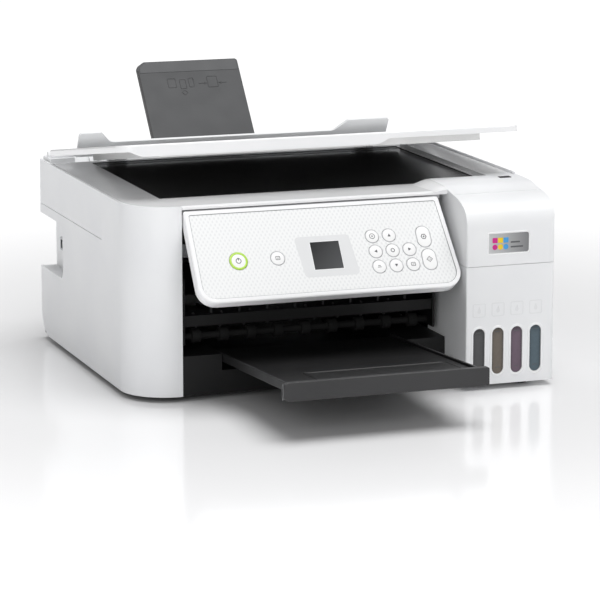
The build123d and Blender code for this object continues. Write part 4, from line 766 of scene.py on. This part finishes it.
@dataclass
class Scanner:
    """The scanner unit: frame, glass and moving bar."""

    top: Face = Face((0.0, 0.0, 172.0), 0.0, True)
    cover_left: float = 102.7
    cover_rear: float = -84.4
    band_front: float = -128.0
    swell_from: float = 84.0
    lip_section: tuple[tuple[float, float], ...] = (
        (-118.0, 169.4), (-118.0, 164.6), (-117.4, 164.0), (-116.6, 164.0), (-116.2, 164.6), (-116.2, 169.4),
    )
    latch: tuple[float, float, float, float] = (165.0, -101.5, 176.0, -94.5)
    profile: tuple[tuple[float, float], ...] = (
        (-172.6, 152.0), (-169.0, 159.0), (-160.5, 165.0), (-145.5, 169.6), (-141.0, 170.4), (-136.0, 171.3),
        (-130.0, 172.6), (-125.0, 173.9), (-121.0, 174.85), (-117.0, 175.3), (-110.0, 175.62), (-100.0, 175.88),
        (-90.0, 176.03), (-84.4, 176.1),
    )

    def cover_blend(self) -> None:
        """The band swells into the taller tank cover.

        Its height is the band's plus a smooth step, 3 t^2 - 2 t^3, of the difference to
        the cover's own height, over the last stretch before the cover.
        """
        x = np.linspace(self.swell_from, self.cover_left - 0.05, 18)
        y = np.linspace(self.band_front + 0.1, self.cover_rear, 14)
        t = (x - x[0]) / (x[-1] - x[0])
        step = (3 * t**2 - 2 * t**3)[:, None]
        cover = np.interp(y, *np.array(self.profile).T)[None, :] - 0.05
        band_top = np.interp(y, [self.band_front, -86.0], [171.0, 172.0])[None, :]
        top = band_top + 0.02 + (cover - band_top) * step
        gx, gy = np.meshgrid(x, y, indexing="ij")
        low = np.broadcast_to(band_top - 0.6, top.shape)
        points = np.concatenate([GROUND.at(gx, gy, top), GROUND.at(gx, gy, low)])
        rows, columns = top.shape
        sheet = grid_faces(rows, columns, False, False)
        under = [tuple(i + rows * columns for i in reversed(face)) for face in sheet]
        rim = [r * columns for r in range(rows)] + [(rows - 1) * columns + c for c in range(1, columns)]
        rim += [r * columns + columns - 1 for r in range(rows - 2, -1, -1)]
        rim += list(range(columns - 2, 0, -1))
        walls = [(a, b, b + rows * columns, a + rows * columns) for a, b in zip(rim, rim[1:] + rim[:1])]
        make("cover_blend", (points, sheet + under + walls), WHITE_GLOSS, Body.SCANNER)

    def skins(self) -> None:
        """The lip behind the band and the smooth skin over the tank cover's top.

        The skin follows the cover's profile, averaged over seven neighbouring stations.
        """
        lip = sweep_across(GROUND, np.array(self.lip_section), (-141.0, -60.0, 20.0, 99.0))
        make("band_inner_lip", lip, WHITE, Body.SCANNER)
        front = np.linspace(-141.0, self.cover_rear, 44)
        height = np.interp(front, *np.array(self.profile).T)
        smooth = np.convolve(np.pad(height, 3, mode="edge"), np.full(7, 1 / 7), mode="valid")
        crown = np.stack([front, smooth + 0.06], axis=-1)
        flat = np.array([(-84.6, 176.14), (-80.0, 176.12), (-76.0, 176.02)])
        parts = []
        for top, deep, steps in (
            (crown, 2.5, (102.75, 103.2, 130.0, 158.0, 186.9, 187.35)),
            (flat, 0.6, (159.0, 161.0, 170.0, 184.3)),
        ):
            under = top[::-1] - np.array([0.0, deep])
            parts.append(sweep_across(GROUND, np.concatenate([top, under]), steps))
        make("cover_skin", merge(parts), WHITE, Body.SCANNER)

    def build(self) -> None:
        """Dresses the scanner and adds the cover's skins, the glass seal and scale, and the latch mark."""
        dress("scanner_frame", WHITE_GLOSS, 0.3)
        dress("scanner_glass", GLASS)
        dress("scan_bar", BLACK, 0.4)
        self.cover_blend()
        self.skins()
        low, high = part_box("scanner_glass")
        x0, x1 = low[0] / MM, high[0] / MM
        y0, y1 = low[1] / MM - DEPTH_SHIFT, high[1] / MM - DEPTH_SHIFT
        edge = rounded_box(x0, y0, x1, y1, 1.0, 4)
        make("glass_seal", frame_band(self.top, edge, 0.9, -0.7, -0.15), BLACK, Body.SCANNER)
        guide = rounded_box(x0 + 1, y1 - 14, x1 - 1, y1 - 1, 0.5, 3)
        strip = Moulding("glass_rear_scale_ink", "#2B2C2E", "#262729", 0.35, depth=0.01)
        make("glass_rear_scale", plate(self.top, guide, -0.62, -0.5), strip, Body.SCANNER)
        latch = rounded_box(*self.latch, 0.8, 4)
        lift = Face((0.0, 0.0, 175.95), 0.0, True)
        make("cover_latch", plate(lift, latch, -0.6, 0.4, 0.2), BLACK, Body.SCANNER)


@dataclass
class Lid:
    """The scanner lid with its foam backing."""

    face: Face = Face((0.0, 135.0, 175.7), 9.1, True)
    front: float = -229.3
    lip_ends: tuple[tuple[float, float], ...] = ((-166.0, -1.0), (50.0, 1.0))
    lip_drop: float = 4.7
    shoulder: float = 14.0
    plate_low: float = 3.85

    def build(self) -> None:
        """Dresses the lid and adds the shoulders at both ends of its front lip.

        A shoulder's drop fades as 1 - t^2 (3 - 2 t) over its length.
        """
        dress("lid_shell", WHITE_GLOSS, 0.5)
        dress("lid_mat", FOAM, 0.8)
        t = np.linspace(0, 1, 14)
        count = len(t)
        low = self.plate_low - self.lip_drop * (1 - t * t * (3 - 2 * t))
        ends = [(0, count, 2 * count, 3 * count), (count - 1, 2 * count - 1, 3 * count - 1, 4 * count - 1)]
        parts = []
        for x, direction in self.lip_ends:
            xs = x + direction * t * self.shoulder
            near, far = self.front + 0.02, self.front + 2.95
            rows = ((near, low), (near, self.plate_low + 0.1), (far, self.plate_low + 0.1), (far, low))
            points = np.concatenate([self.face.at(xs, up, out) for up, out in rows])
            parts.append((points, grid_faces(4, count, False, True) + ends))
        make("lid_lip_shoulders", merge(parts), WHITE_GLOSS, Body.LID)


@dataclass
class Panel:
    """The tilting control panel: frame, film, screen and keys."""

    face: Face = Face((0.0, -128.5, 168.2), 34.0)
    left: float = -142.3
    right_top: float = 93.0
    right_low: float = 100.4
    length: float = 87.0
    inset: float = 4.0
    sink: float = -0.5
    rise: float = 0.0
    key_depth: float = 3.0
    key_radii: tuple[tuple[str, float], ...] = (("power", 8.3), ("network", 6.5), ("key", 6.3))
    oval: tuple[float, float] = (13.4, 20.4)
    ring_section: tuple[tuple[float, float], ...] = (
        (-1.1, -0.6), (0.75, -0.6), (0.75, -0.1), (0.3, 0.12), (-0.6, 0.2), (-1.1, 0.0),
    )

    def keys(self) -> list[tuple[str, float, float, str, Mark]]:
        """Each key: its node, place across and down, shape and sign."""
        return [
            ("power_button", -101.6, 49.4, "power", Mark.POWER),
            ("network_button", -66.0, 49.2, "network", Mark.PAGE),
            ("help_button", 23.8, 34.5, "key", Mark.DOT),
            ("up_button", 39.6, 34.5, "key", Mark.UP),
            ("left_button", 24.3, 48.9, "key", Mark.LEFT),
            ("ok_button", 40.1, 48.9, "key", Mark.RING),
            ("right_button", 55.9, 48.9, "key", Mark.RIGHT),
            ("back_button", 24.8, 63.3, "key", Mark.BARS),
            ("down_button", 40.6, 63.3, "key", Mark.DOWN),
            ("options_button", 56.4, 63.3, "key", Mark.PAGE),
            ("stop_button", 71.4, 37.9, "oval", Mark.STOP),
            ("start_button", 72.4, 59.6, "oval", Mark.DIAMOND),
        ]

    def outline(self, inset: float, radius: float) -> np.ndarray:
        """The panel's outline moved in, anticlockwise from its lower left corner."""
        slant = (self.right_low - self.right_top) / self.length
        top, low = -inset, -self.length + inset
        corners = [
            (self.left + inset, low),
            (self.right_low - inset - slant * inset, low),
            (self.right_top - inset + slant * inset, top),
            (self.left + inset, top),
        ]
        return rounded(corners, [radius, radius, 2.0, 2.0])

    def sign(self, mark: Mark, x: float, y: float, out: float) -> list[Surface]:
        """The printed sign on a key, about 4 mm across.

        Args:
            mark: Which sign.
            x: Middle across.
            y: Middle up.
            out: Height of the key's top.

        Returns:
            Thin raised surfaces.
        """
        foot, top = out - 0.25, out + 0.06

        def solid(shape: np.ndarray) -> Surface:
            """One small flat plate."""
            return plate(self.face, shape, foot, top)

        def block(left: float, low: float, right: float, high: float) -> Surface:
            """One small plate with square corners, set from the sign's middle."""
            return solid(rounded_box(x + left, y + low, x + right, y + high, 0.1, 3))

        def line(shape: np.ndarray, width: float = 0.55) -> Surface:
            """One thin closed line."""
            return frame_band(self.face, shape, width, foot, top)

        turns = {Mark.UP: 0, Mark.LEFT: 90, Mark.DOWN: 180, Mark.RIGHT: 270}
        if mark in turns:
            a = math.radians(turns[mark])
            arrow = np.array([(-1.5, -1.3), (1.5, -1.3), (0.0, 1.5)])
            turned = arrow @ np.array([[math.cos(a), math.sin(a)], [-math.sin(a), math.cos(a)]])
            return [solid(rounded([(x + px, y + py) for px, py in turned], [0.25] * 3, 3))]
        if mark is Mark.POWER:
            return [line(circle(x, y, 2.2, 32), 0.7), block(-0.35, 0.4, 0.35, 3.0)]
        if mark is Mark.PAGE:
            page = rounded_box(x - 1.8, y - 1.4, x + 1.8, y + 1.6, 0.4, 3)
            return [line(page), block(-1.0, -0.3, 1.0, 0.3)]
        if mark is Mark.DOT:
            return [line(circle(x, y, 2.3, 28)), solid(circle(x, y, 0.7, 16))]
        if mark is Mark.RING:
            return [line(circle(x, y, 1.6, 28), 0.7)]
        if mark is Mark.BARS:
            return [block(-w, d, w, d + 0.6) for d, w in ((-0.9, 1.7), (0.5, 1.1))]
        if mark is Mark.STOP:
            return [line(circle(x, y, 2.3, 6), 0.8), solid(circle(x, y, 0.8, 16))]
        return [line(circle(x, y, 2.6, 4), 0.7), line(circle(x, y, 1.2, 4), 0.4)]

    def key(self, name: str, x: float, down: float, kind: str, mark: Mark) -> None:
        """Makes one key: crowned cap, printed outline and sign."""
        y = -down
        radius = dict(self.key_radii).get(kind)
        shape = circle(x, y, radius) if radius else stadium(x, y, *self.oval)
        cap = dome(self.face, offset(shape, -0.1), -self.key_depth, self.rise + 0.05, 0.35)
        body = next(b for b, nodes in BODY_NODES.items() if name in nodes)
        make(name + "_cap", cap, KEY, body, (name,))
        if kind == "power":
            glow = band(self.face, offset(shape, -0.9), self.ring_section)
            make("power_light_ring", glow, LIME, body)
        else:
            edge = frame_band(self.face, offset(shape, -0.5), 0.75, -0.9, -0.2)
            make(name + "_outline", edge, OUTLINE_INK, body)
        make(name + "_sign", merge(self.sign(mark, x, y, self.rise + 0.05)), ICON_INK, body)

    def build(self) -> None:
        """Dresses the panel and adds its groove, screen surround and keys."""
        dress("panel_frame", WHITE_GLOSS, 0.9)
        dress("panel_fascia", FASCIA)
        low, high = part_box("lcd_screen")
        screen = Screen(
            "lcd_cover_dark", "#525355", "#202122", 0.3, depth=0.002, specular=0.2,
            left=low[0] / MM, right=high[0] / MM, low=low[2] / MM, high=high[2] / MM,
        )
        dress("lcd_screen", screen)
        dress("panel_board", BOARD)
        dress("panel_bracket", BLACK, 0.4)
        groove = frame_band(self.face, self.outline(self.inset - 0.1, 11.6), 1.1, -0.9, -0.12)
        make("fascia_groove", groove, GROOVE, Body.PANEL)
        print_edge = rounded([(-44.0, -69.0), (6.3, -69.0), (2.3, -30.8), (-48.0, -30.8)], [3.5] * 4)
        hole = rounded_box(-34.6, -62.6, -7.4, -36.0, 0.4)
        rings = [self.face.at(*print_edge.T, self.sink - 0.05), self.face.at(*print_edge.T, self.sink + 0.04)]
        rings += [self.face.at(*hole.T, self.sink + 0.04), self.face.at(*hole.T, self.sink - 0.05)]
        surround = (np.concatenate(rings), grid_faces(4, len(print_edge), True, True))
        make("screen_surround", surround, SURROUND, Body.PANEL)
        lip = frame_band(self.face, hole, 0.7, self.sink - 0.3, self.sink + 0.14)
        make("screen_lip", lip, WHITE_GLOSS, Body.PANEL)
        for key in self.keys():
            self.key(*key)


@dataclass
class Tray:
    """The output tray, its extension with the front bar, and the stopper flap."""

    face: Face = Face((-20.3, -300.0, 50.3), 3.45, True)
    bar: Face = Face((-20.3, -300.0, 51.5), 0.0)
    half: float = 86.2
    bar_half: float = 91.1
    bar_height: float = 15.5
    length: float = 212.0
    floor: float = -4.55
    flap: tuple[float, float, float] = (-52.7, 75.3, 61.0)

    def bar_ends(self) -> None:
        """An oval lip on each end of the bar, lighter grey as a painted highlight: up 6.2 sin(a) and out 2
        cos(a) from its middle.
        """
        count = 28
        turn = np.linspace(0, 2 * math.pi, count, endpoint=False)
        loop = np.stack([-self.bar_height / 2 + 6.2 * np.sin(turn), -3.0 + 2.0 * np.cos(turn)], axis=-1)
        ends = []
        for direction in (-1.0, 1.0):
            rings = []
            for grow, shift in ((0.88, 0.0), (1.12, 0.0), (1.12, 0.28), (0.88, 0.28)):
                ring = (loop - loop.mean(0)) * grow + loop.mean(0)
                across = direction * (self.bar_half + 0.02) + direction * shift
                rings.append(self.bar.at(np.full(count, across), ring[:, 0], ring[:, 1]))
            ends.append((np.concatenate(rings), grid_faces(len(rings), count, True, True)))
        make("bar_end_lips", merge(ends), PAINTED_EDGE_HIGHLIGHT, Body.EXTENSION)

    def deck(self) -> None:
        """The paper deck between the rims, notched round the stopper flap."""
        side, front, rear = self.half - 2.3, 6.2, self.length - 0.5
        left, right, back = self.flap[0] - 0.7, self.flap[1] + 0.7, self.flap[2] + 0.8
        corners = [(-side, front), (left, front), (left, back), (right, back), (right, front), (side, front)]
        corners += [(side, rear), (-side, rear)]
        outline = rounded(corners, [0.0, 0.4, 3.0, 3.0, 0.4, 0.0, 0.6, 0.6], 5)
        deck = plate(self.face, outline, self.floor, -2.0, 0.3)
        make("tray_deck", deck, TRAY_BLACK, Body.TRAY)

    def build(self) -> None:
        """Dresses the tray and adds its deck, rail edges and the bar's hooked ends."""
        dress("output_tray", TRAY_BLACK, 0.4)
        dress("tray_extension", BAR_GREY, 0.5)
        dress("tray_stopper", TRAY_BLACK, 0.4)
        self.bar_ends()
        self.deck()
        edges = []
        for direction in (-1.0, 1.0):
            x = direction * (self.half - 1.1)
            rail = rounded_box(x - 0.75, 8.0, x + 0.75, self.length - 2.0, 0.5, 4)
            edges.append(plate(self.face, rail, -0.2, 0.18, 0.15))
        make("tray_rail_beads", merge(edges), BAR_GREY, Body.TRAY)
        left, right, _ = self.flap
        line = rounded_box(left + 3, 57.5, right - 3, 58.4, 0.3, 3)
        bead = plate(self.face, line, -2.5, -1.7, 0.2)
        make("flap_front_bead", bead, BAR_GREY, Body.STOPPER)


@dataclass
class RearFeed:
    """The rear paper feed: support, guard, hopper and edge guides."""

    face: Face = Face((0.0, 165.0, 177.0), 39.0)
    left: float = -77.0
    right: float = 26.0
    top: float = 95.94

    def signs(self) -> list[Surface]:
        """Two plain outline signs: sheets going in, and guides closing on a sheet."""
        out: list[Surface] = []

        def line(shape: np.ndarray, width: float = 0.7) -> None:
            """Adds one closed line."""
            out.append(frame_band(self.face, shape, width, -0.1, 0.22))

        for x, w, y in ((-45.0, 8.0, 71.0), (-34.0, 6.0, 69.5), (-25.5, 5.0, 71.0)):
            line(rounded_box(x - w / 2, y - 5, x + w / 2, y + 5, 1.0, 4))
        line(circle(-34.0, 60.0, 2.8, 4))
        x, y = -4.0, 71.0
        line(rounded_box(x - 5, y - 6, x + 5, y + 6, 1.0, 4))
        for direction in (-1.0, 1.0):
            start, end = x + direction * 6.0, x + direction * 14.0
            bar = rounded_box(min(start, end), y - 1.9, max(start, end), y - 1.1, 0.2, 3)
            out.append(plate(self.face, bar, -0.1, 0.22))
            tip = [(start, y - 1.5), (start + direction * 2.6, y - 3.2), (start + direction * 2.6, y + 0.2)]
            tip = tip if direction > 0 else tip[::-1]
            out.append(plate(self.face, rounded(tip, [0.2] * 3, 3), -0.1, 0.22))
        return out

    def build(self) -> None:
        """Dresses the feed and adds the support's ridge and signs."""
        dress("paper_support", SUPPORT, 0.5)
        dress("feeder_guard", GUARD, 0.5)
        dress("feed_hopper", WHITE, 0.3)
        for node in ("left_edge_guide", "right_edge_guide"):
            dress(node, GUARD, 0.3)
        dress("scanner_hinge_pins", STEEL)
        make("support_signs", merge(self.signs()), SUPPORT_LINE, Body.SUPPORT)
        ridge_low, ridge_high = self.top - 12.5, self.top - 0.8
        left, right = self.left + 2.5, self.right - 1.5
        corners = [(left, ridge_low), (right, ridge_low), (right, ridge_high)]
        corners += [(left + 7.0, ridge_high), (left, ridge_high - 5.5)]
        outline = rounded(corners, [0.5, 0.5, 2.0, 2.5, 2.5])
        # A black strip along the support's left edge: painted shade standing for the plate's shaded edge.
        edge = rounded_box(self.left - 0.1, 2.0, self.left + 1.7, ridge_high - 8.5, 0.3, 3)
        strip = plate(self.face, edge, -1.0, 0.12)
        make("support_edge_painted_shade", strip, TRAY_BLACK, Body.SUPPORT)
        ridge = Moulding("dark_grey_ridge", "#4D4E50", "#48494B", 0.42, depth=0.02, specular=0.4)
        field = plate(self.face, outline, -0.2, 0.3, 0.25)
        make("support_ridge", field, ridge, Body.SUPPORT)


@dataclass
class Mechanism:
    """The works inside the case: frames, rollers, rail, carriage and boards."""

    axis: tuple[float, float] = (-98.0, 51.6)
    guide: Face = Face((0.0, -104.0, 66.0), 0.0)

    def star_wheels(self) -> None:
        """Toothed star wheels over the exit roller: r = 3.2 + 0.9 * |cos(6 a)| round each wheel."""
        count = 48
        turn = np.linspace(0, 2 * math.pi, count, endpoint=False)
        radius = 3.2 + 0.9 * np.abs(np.cos(6 * turn))
        parts = []
        face = Face((0.0, self.axis[0], self.axis[1] + 10.6), 0.0)
        for x in np.arange(-122.0, 84.0, 22.0):
            rings = [
                face.at(np.full(count, x + dx), radius * k * np.sin(turn), radius * k * np.cos(turn))
                for dx, k in ((-0.9, 0.3), (-0.5, 1.0), (0.5, 1.0), (0.9, 0.3))
            ]
            faces = grid_faces(len(rings), count, True, False)
            faces += [tuple(range(count)), tuple(range(3 * count, 4 * count))]
            parts.append((np.concatenate(rings), faces))
        make("star_wheels", merge(parts), BAR_GREY, Body.CASE)

    def ribs(self) -> None:
        """Bracket-shaped ribs under the exit guide, each a thin folded wall."""
        parts = []
        for x in np.arange(-118.0, 80.0, 26.0):
            outer = [(x - 9, 2), (x + 9, 2), (x + 9, 12), (x + 7.4, 12)]
            inner = [(x + 7.4, 3.6), (x - 7.4, 3.6), (x - 7.4, 8), (x - 9, 8)]
            parts.append(plate(self.guide, rounded(outer + inner, [0.3] * 8, 3), -1.0, 1.4, 0.2))
        make("exit_ribs", merge(parts), BAR_GREY, Body.CASE)

    def build(self) -> None:
        """Dresses the works and adds star wheels and ribs."""
        for node in ("inner_frame", "platen", "exit_guide", "print_carriage", "power_supply"):
            dress(node, BLACK, 0.3)
        dress("exit_roller", RUBBER, 0.2)
        dress("feed_roller", RUBBER, 0.2)
        dress("carriage_rail", STEEL, 0.2)
        dress("main_board", BOARD)
        self.star_wheels()
        self.ribs()


@dataclass
class Studio:
    """Pale floor, soft lights and the camera."""

    floor_half: float = 14.0
    floor_lines: int = 21
    target: tuple[float, float, float] = (10.461, 36.0, 55.48)
    eye: tuple[float, float, float] = (-935.5, -2588.1, 624.4)
    lens: float = 186.06
    bank_from: tuple[float, float, float] = (0.16, -0.1, 1.0)
    bank_angle: float = 50.0
    bank_power: float = 2.45
    softbox_at: tuple[float, float, float] = (-1.5, -3.0, 1.2)
    softbox_size: float = 2.2
    softbox_power: float = 34.0
    sky: float = 0.22
    sensor: float = 36.0
    far_clip: float = 60.0

    def floor(self) -> None:
        """A pale polished sweep, level under the printer."""
        steps = np.linspace(-self.floor_half, self.floor_half, self.floor_lines)
        x, y = np.meshgrid(steps, steps, indexing="ij")
        points = np.stack([x.ravel(), y.ravel(), np.zeros(x.size)], axis=-1)
        mesh = bpy.data.meshes.new("studio_floor")
        mesh.from_pydata(points.tolist(), [], grid_faces(self.floor_lines, self.floor_lines, False, False))
        ground = bpy.data.objects.new("studio_floor", mesh)
        bpy.context.scene.collection.objects.link(ground)
        paint = PaintedGlowFloor(
            "polished_floor_with_painted_glow", "#F7F7F8", "#F5F5F6", 0.13,
            grain=3.0, depth=0.0, cloud=900.0, specular=0.3,
        )
        mesh.materials.append(paint.material())

    def sun(self) -> None:
        """A broad, even light from above, a little to the front and right."""
        light = bpy.data.lights.new("overhead_bank", "SUN")
        light.energy, light.angle = self.bank_power, math.radians(self.bank_angle)
        bank = bpy.data.objects.new("overhead_bank", light)
        bank.rotation_euler = Vector(-np.array(self.bank_from)).to_track_quat("-Z", "Y").to_euler()
        bpy.context.scene.collection.objects.link(bank)

    def lamp(self, name: str, spot: tuple[float, float, float], size: float, power: float) -> None:
        """One square soft light aimed at the printer.

        Args:
            name: The lamp's name.
            spot: Where it hangs, in metres.
            size: Its side in metres.
            power: Watts.
        """
        light = bpy.data.lights.new(name, "AREA")
        light.size, light.energy = size, power
        lamp = bpy.data.objects.new(name, light)
        lamp.location = spot
        aim = np.array([0.0, 0.0, 0.1]) - np.array(spot)
        lamp.rotation_euler = Vector(aim).to_track_quat("-Z", "Y").to_euler()
        bpy.context.scene.collection.objects.link(lamp)

    def build(self) -> None:
        """Sets the floor, lights, sky and camera."""
        self.floor()
        self.sun()
        self.lamp("front_softbox", self.softbox_at, self.softbox_size, self.softbox_power)
        world = bpy.data.worlds.new("studio_sky")
        world.use_nodes = True
        background = world.node_tree.nodes["Background"]
        background.inputs["Color"].default_value = linear("#FFFFFF")
        background.inputs["Strength"].default_value = self.sky
        scene = bpy.context.scene
        scene.world = world
        scene.view_settings.view_transform = "Standard"
        data = bpy.data.cameras.new("camera")
        data.lens, data.sensor_width = self.lens, self.sensor
        data.clip_end = self.far_clip
        camera = bpy.data.objects.new("camera", data)
        eye, target = np.array(self.eye) * MM, np.array(self.target) * MM
        camera.location = eye
        camera.rotation_euler = Vector(target - eye).to_track_quat("-Z", "Y").to_euler()
        scene.collection.objects.link(camera)
        scene.camera = camera


def main() -> None:
    """Builds every sub-assembly in order."""
    logging.basicConfig(level=logging.INFO, format="%(message)s")
    for assembly in (Case(), Tanks(), Scanner(), Lid(), Panel(), Tray(), RearFeed(), Mechanism(), Studio()):
        assembly.build()
        LOG.info("%s done", type(assembly).__name__)


if __name__ == "__main__":
    main()
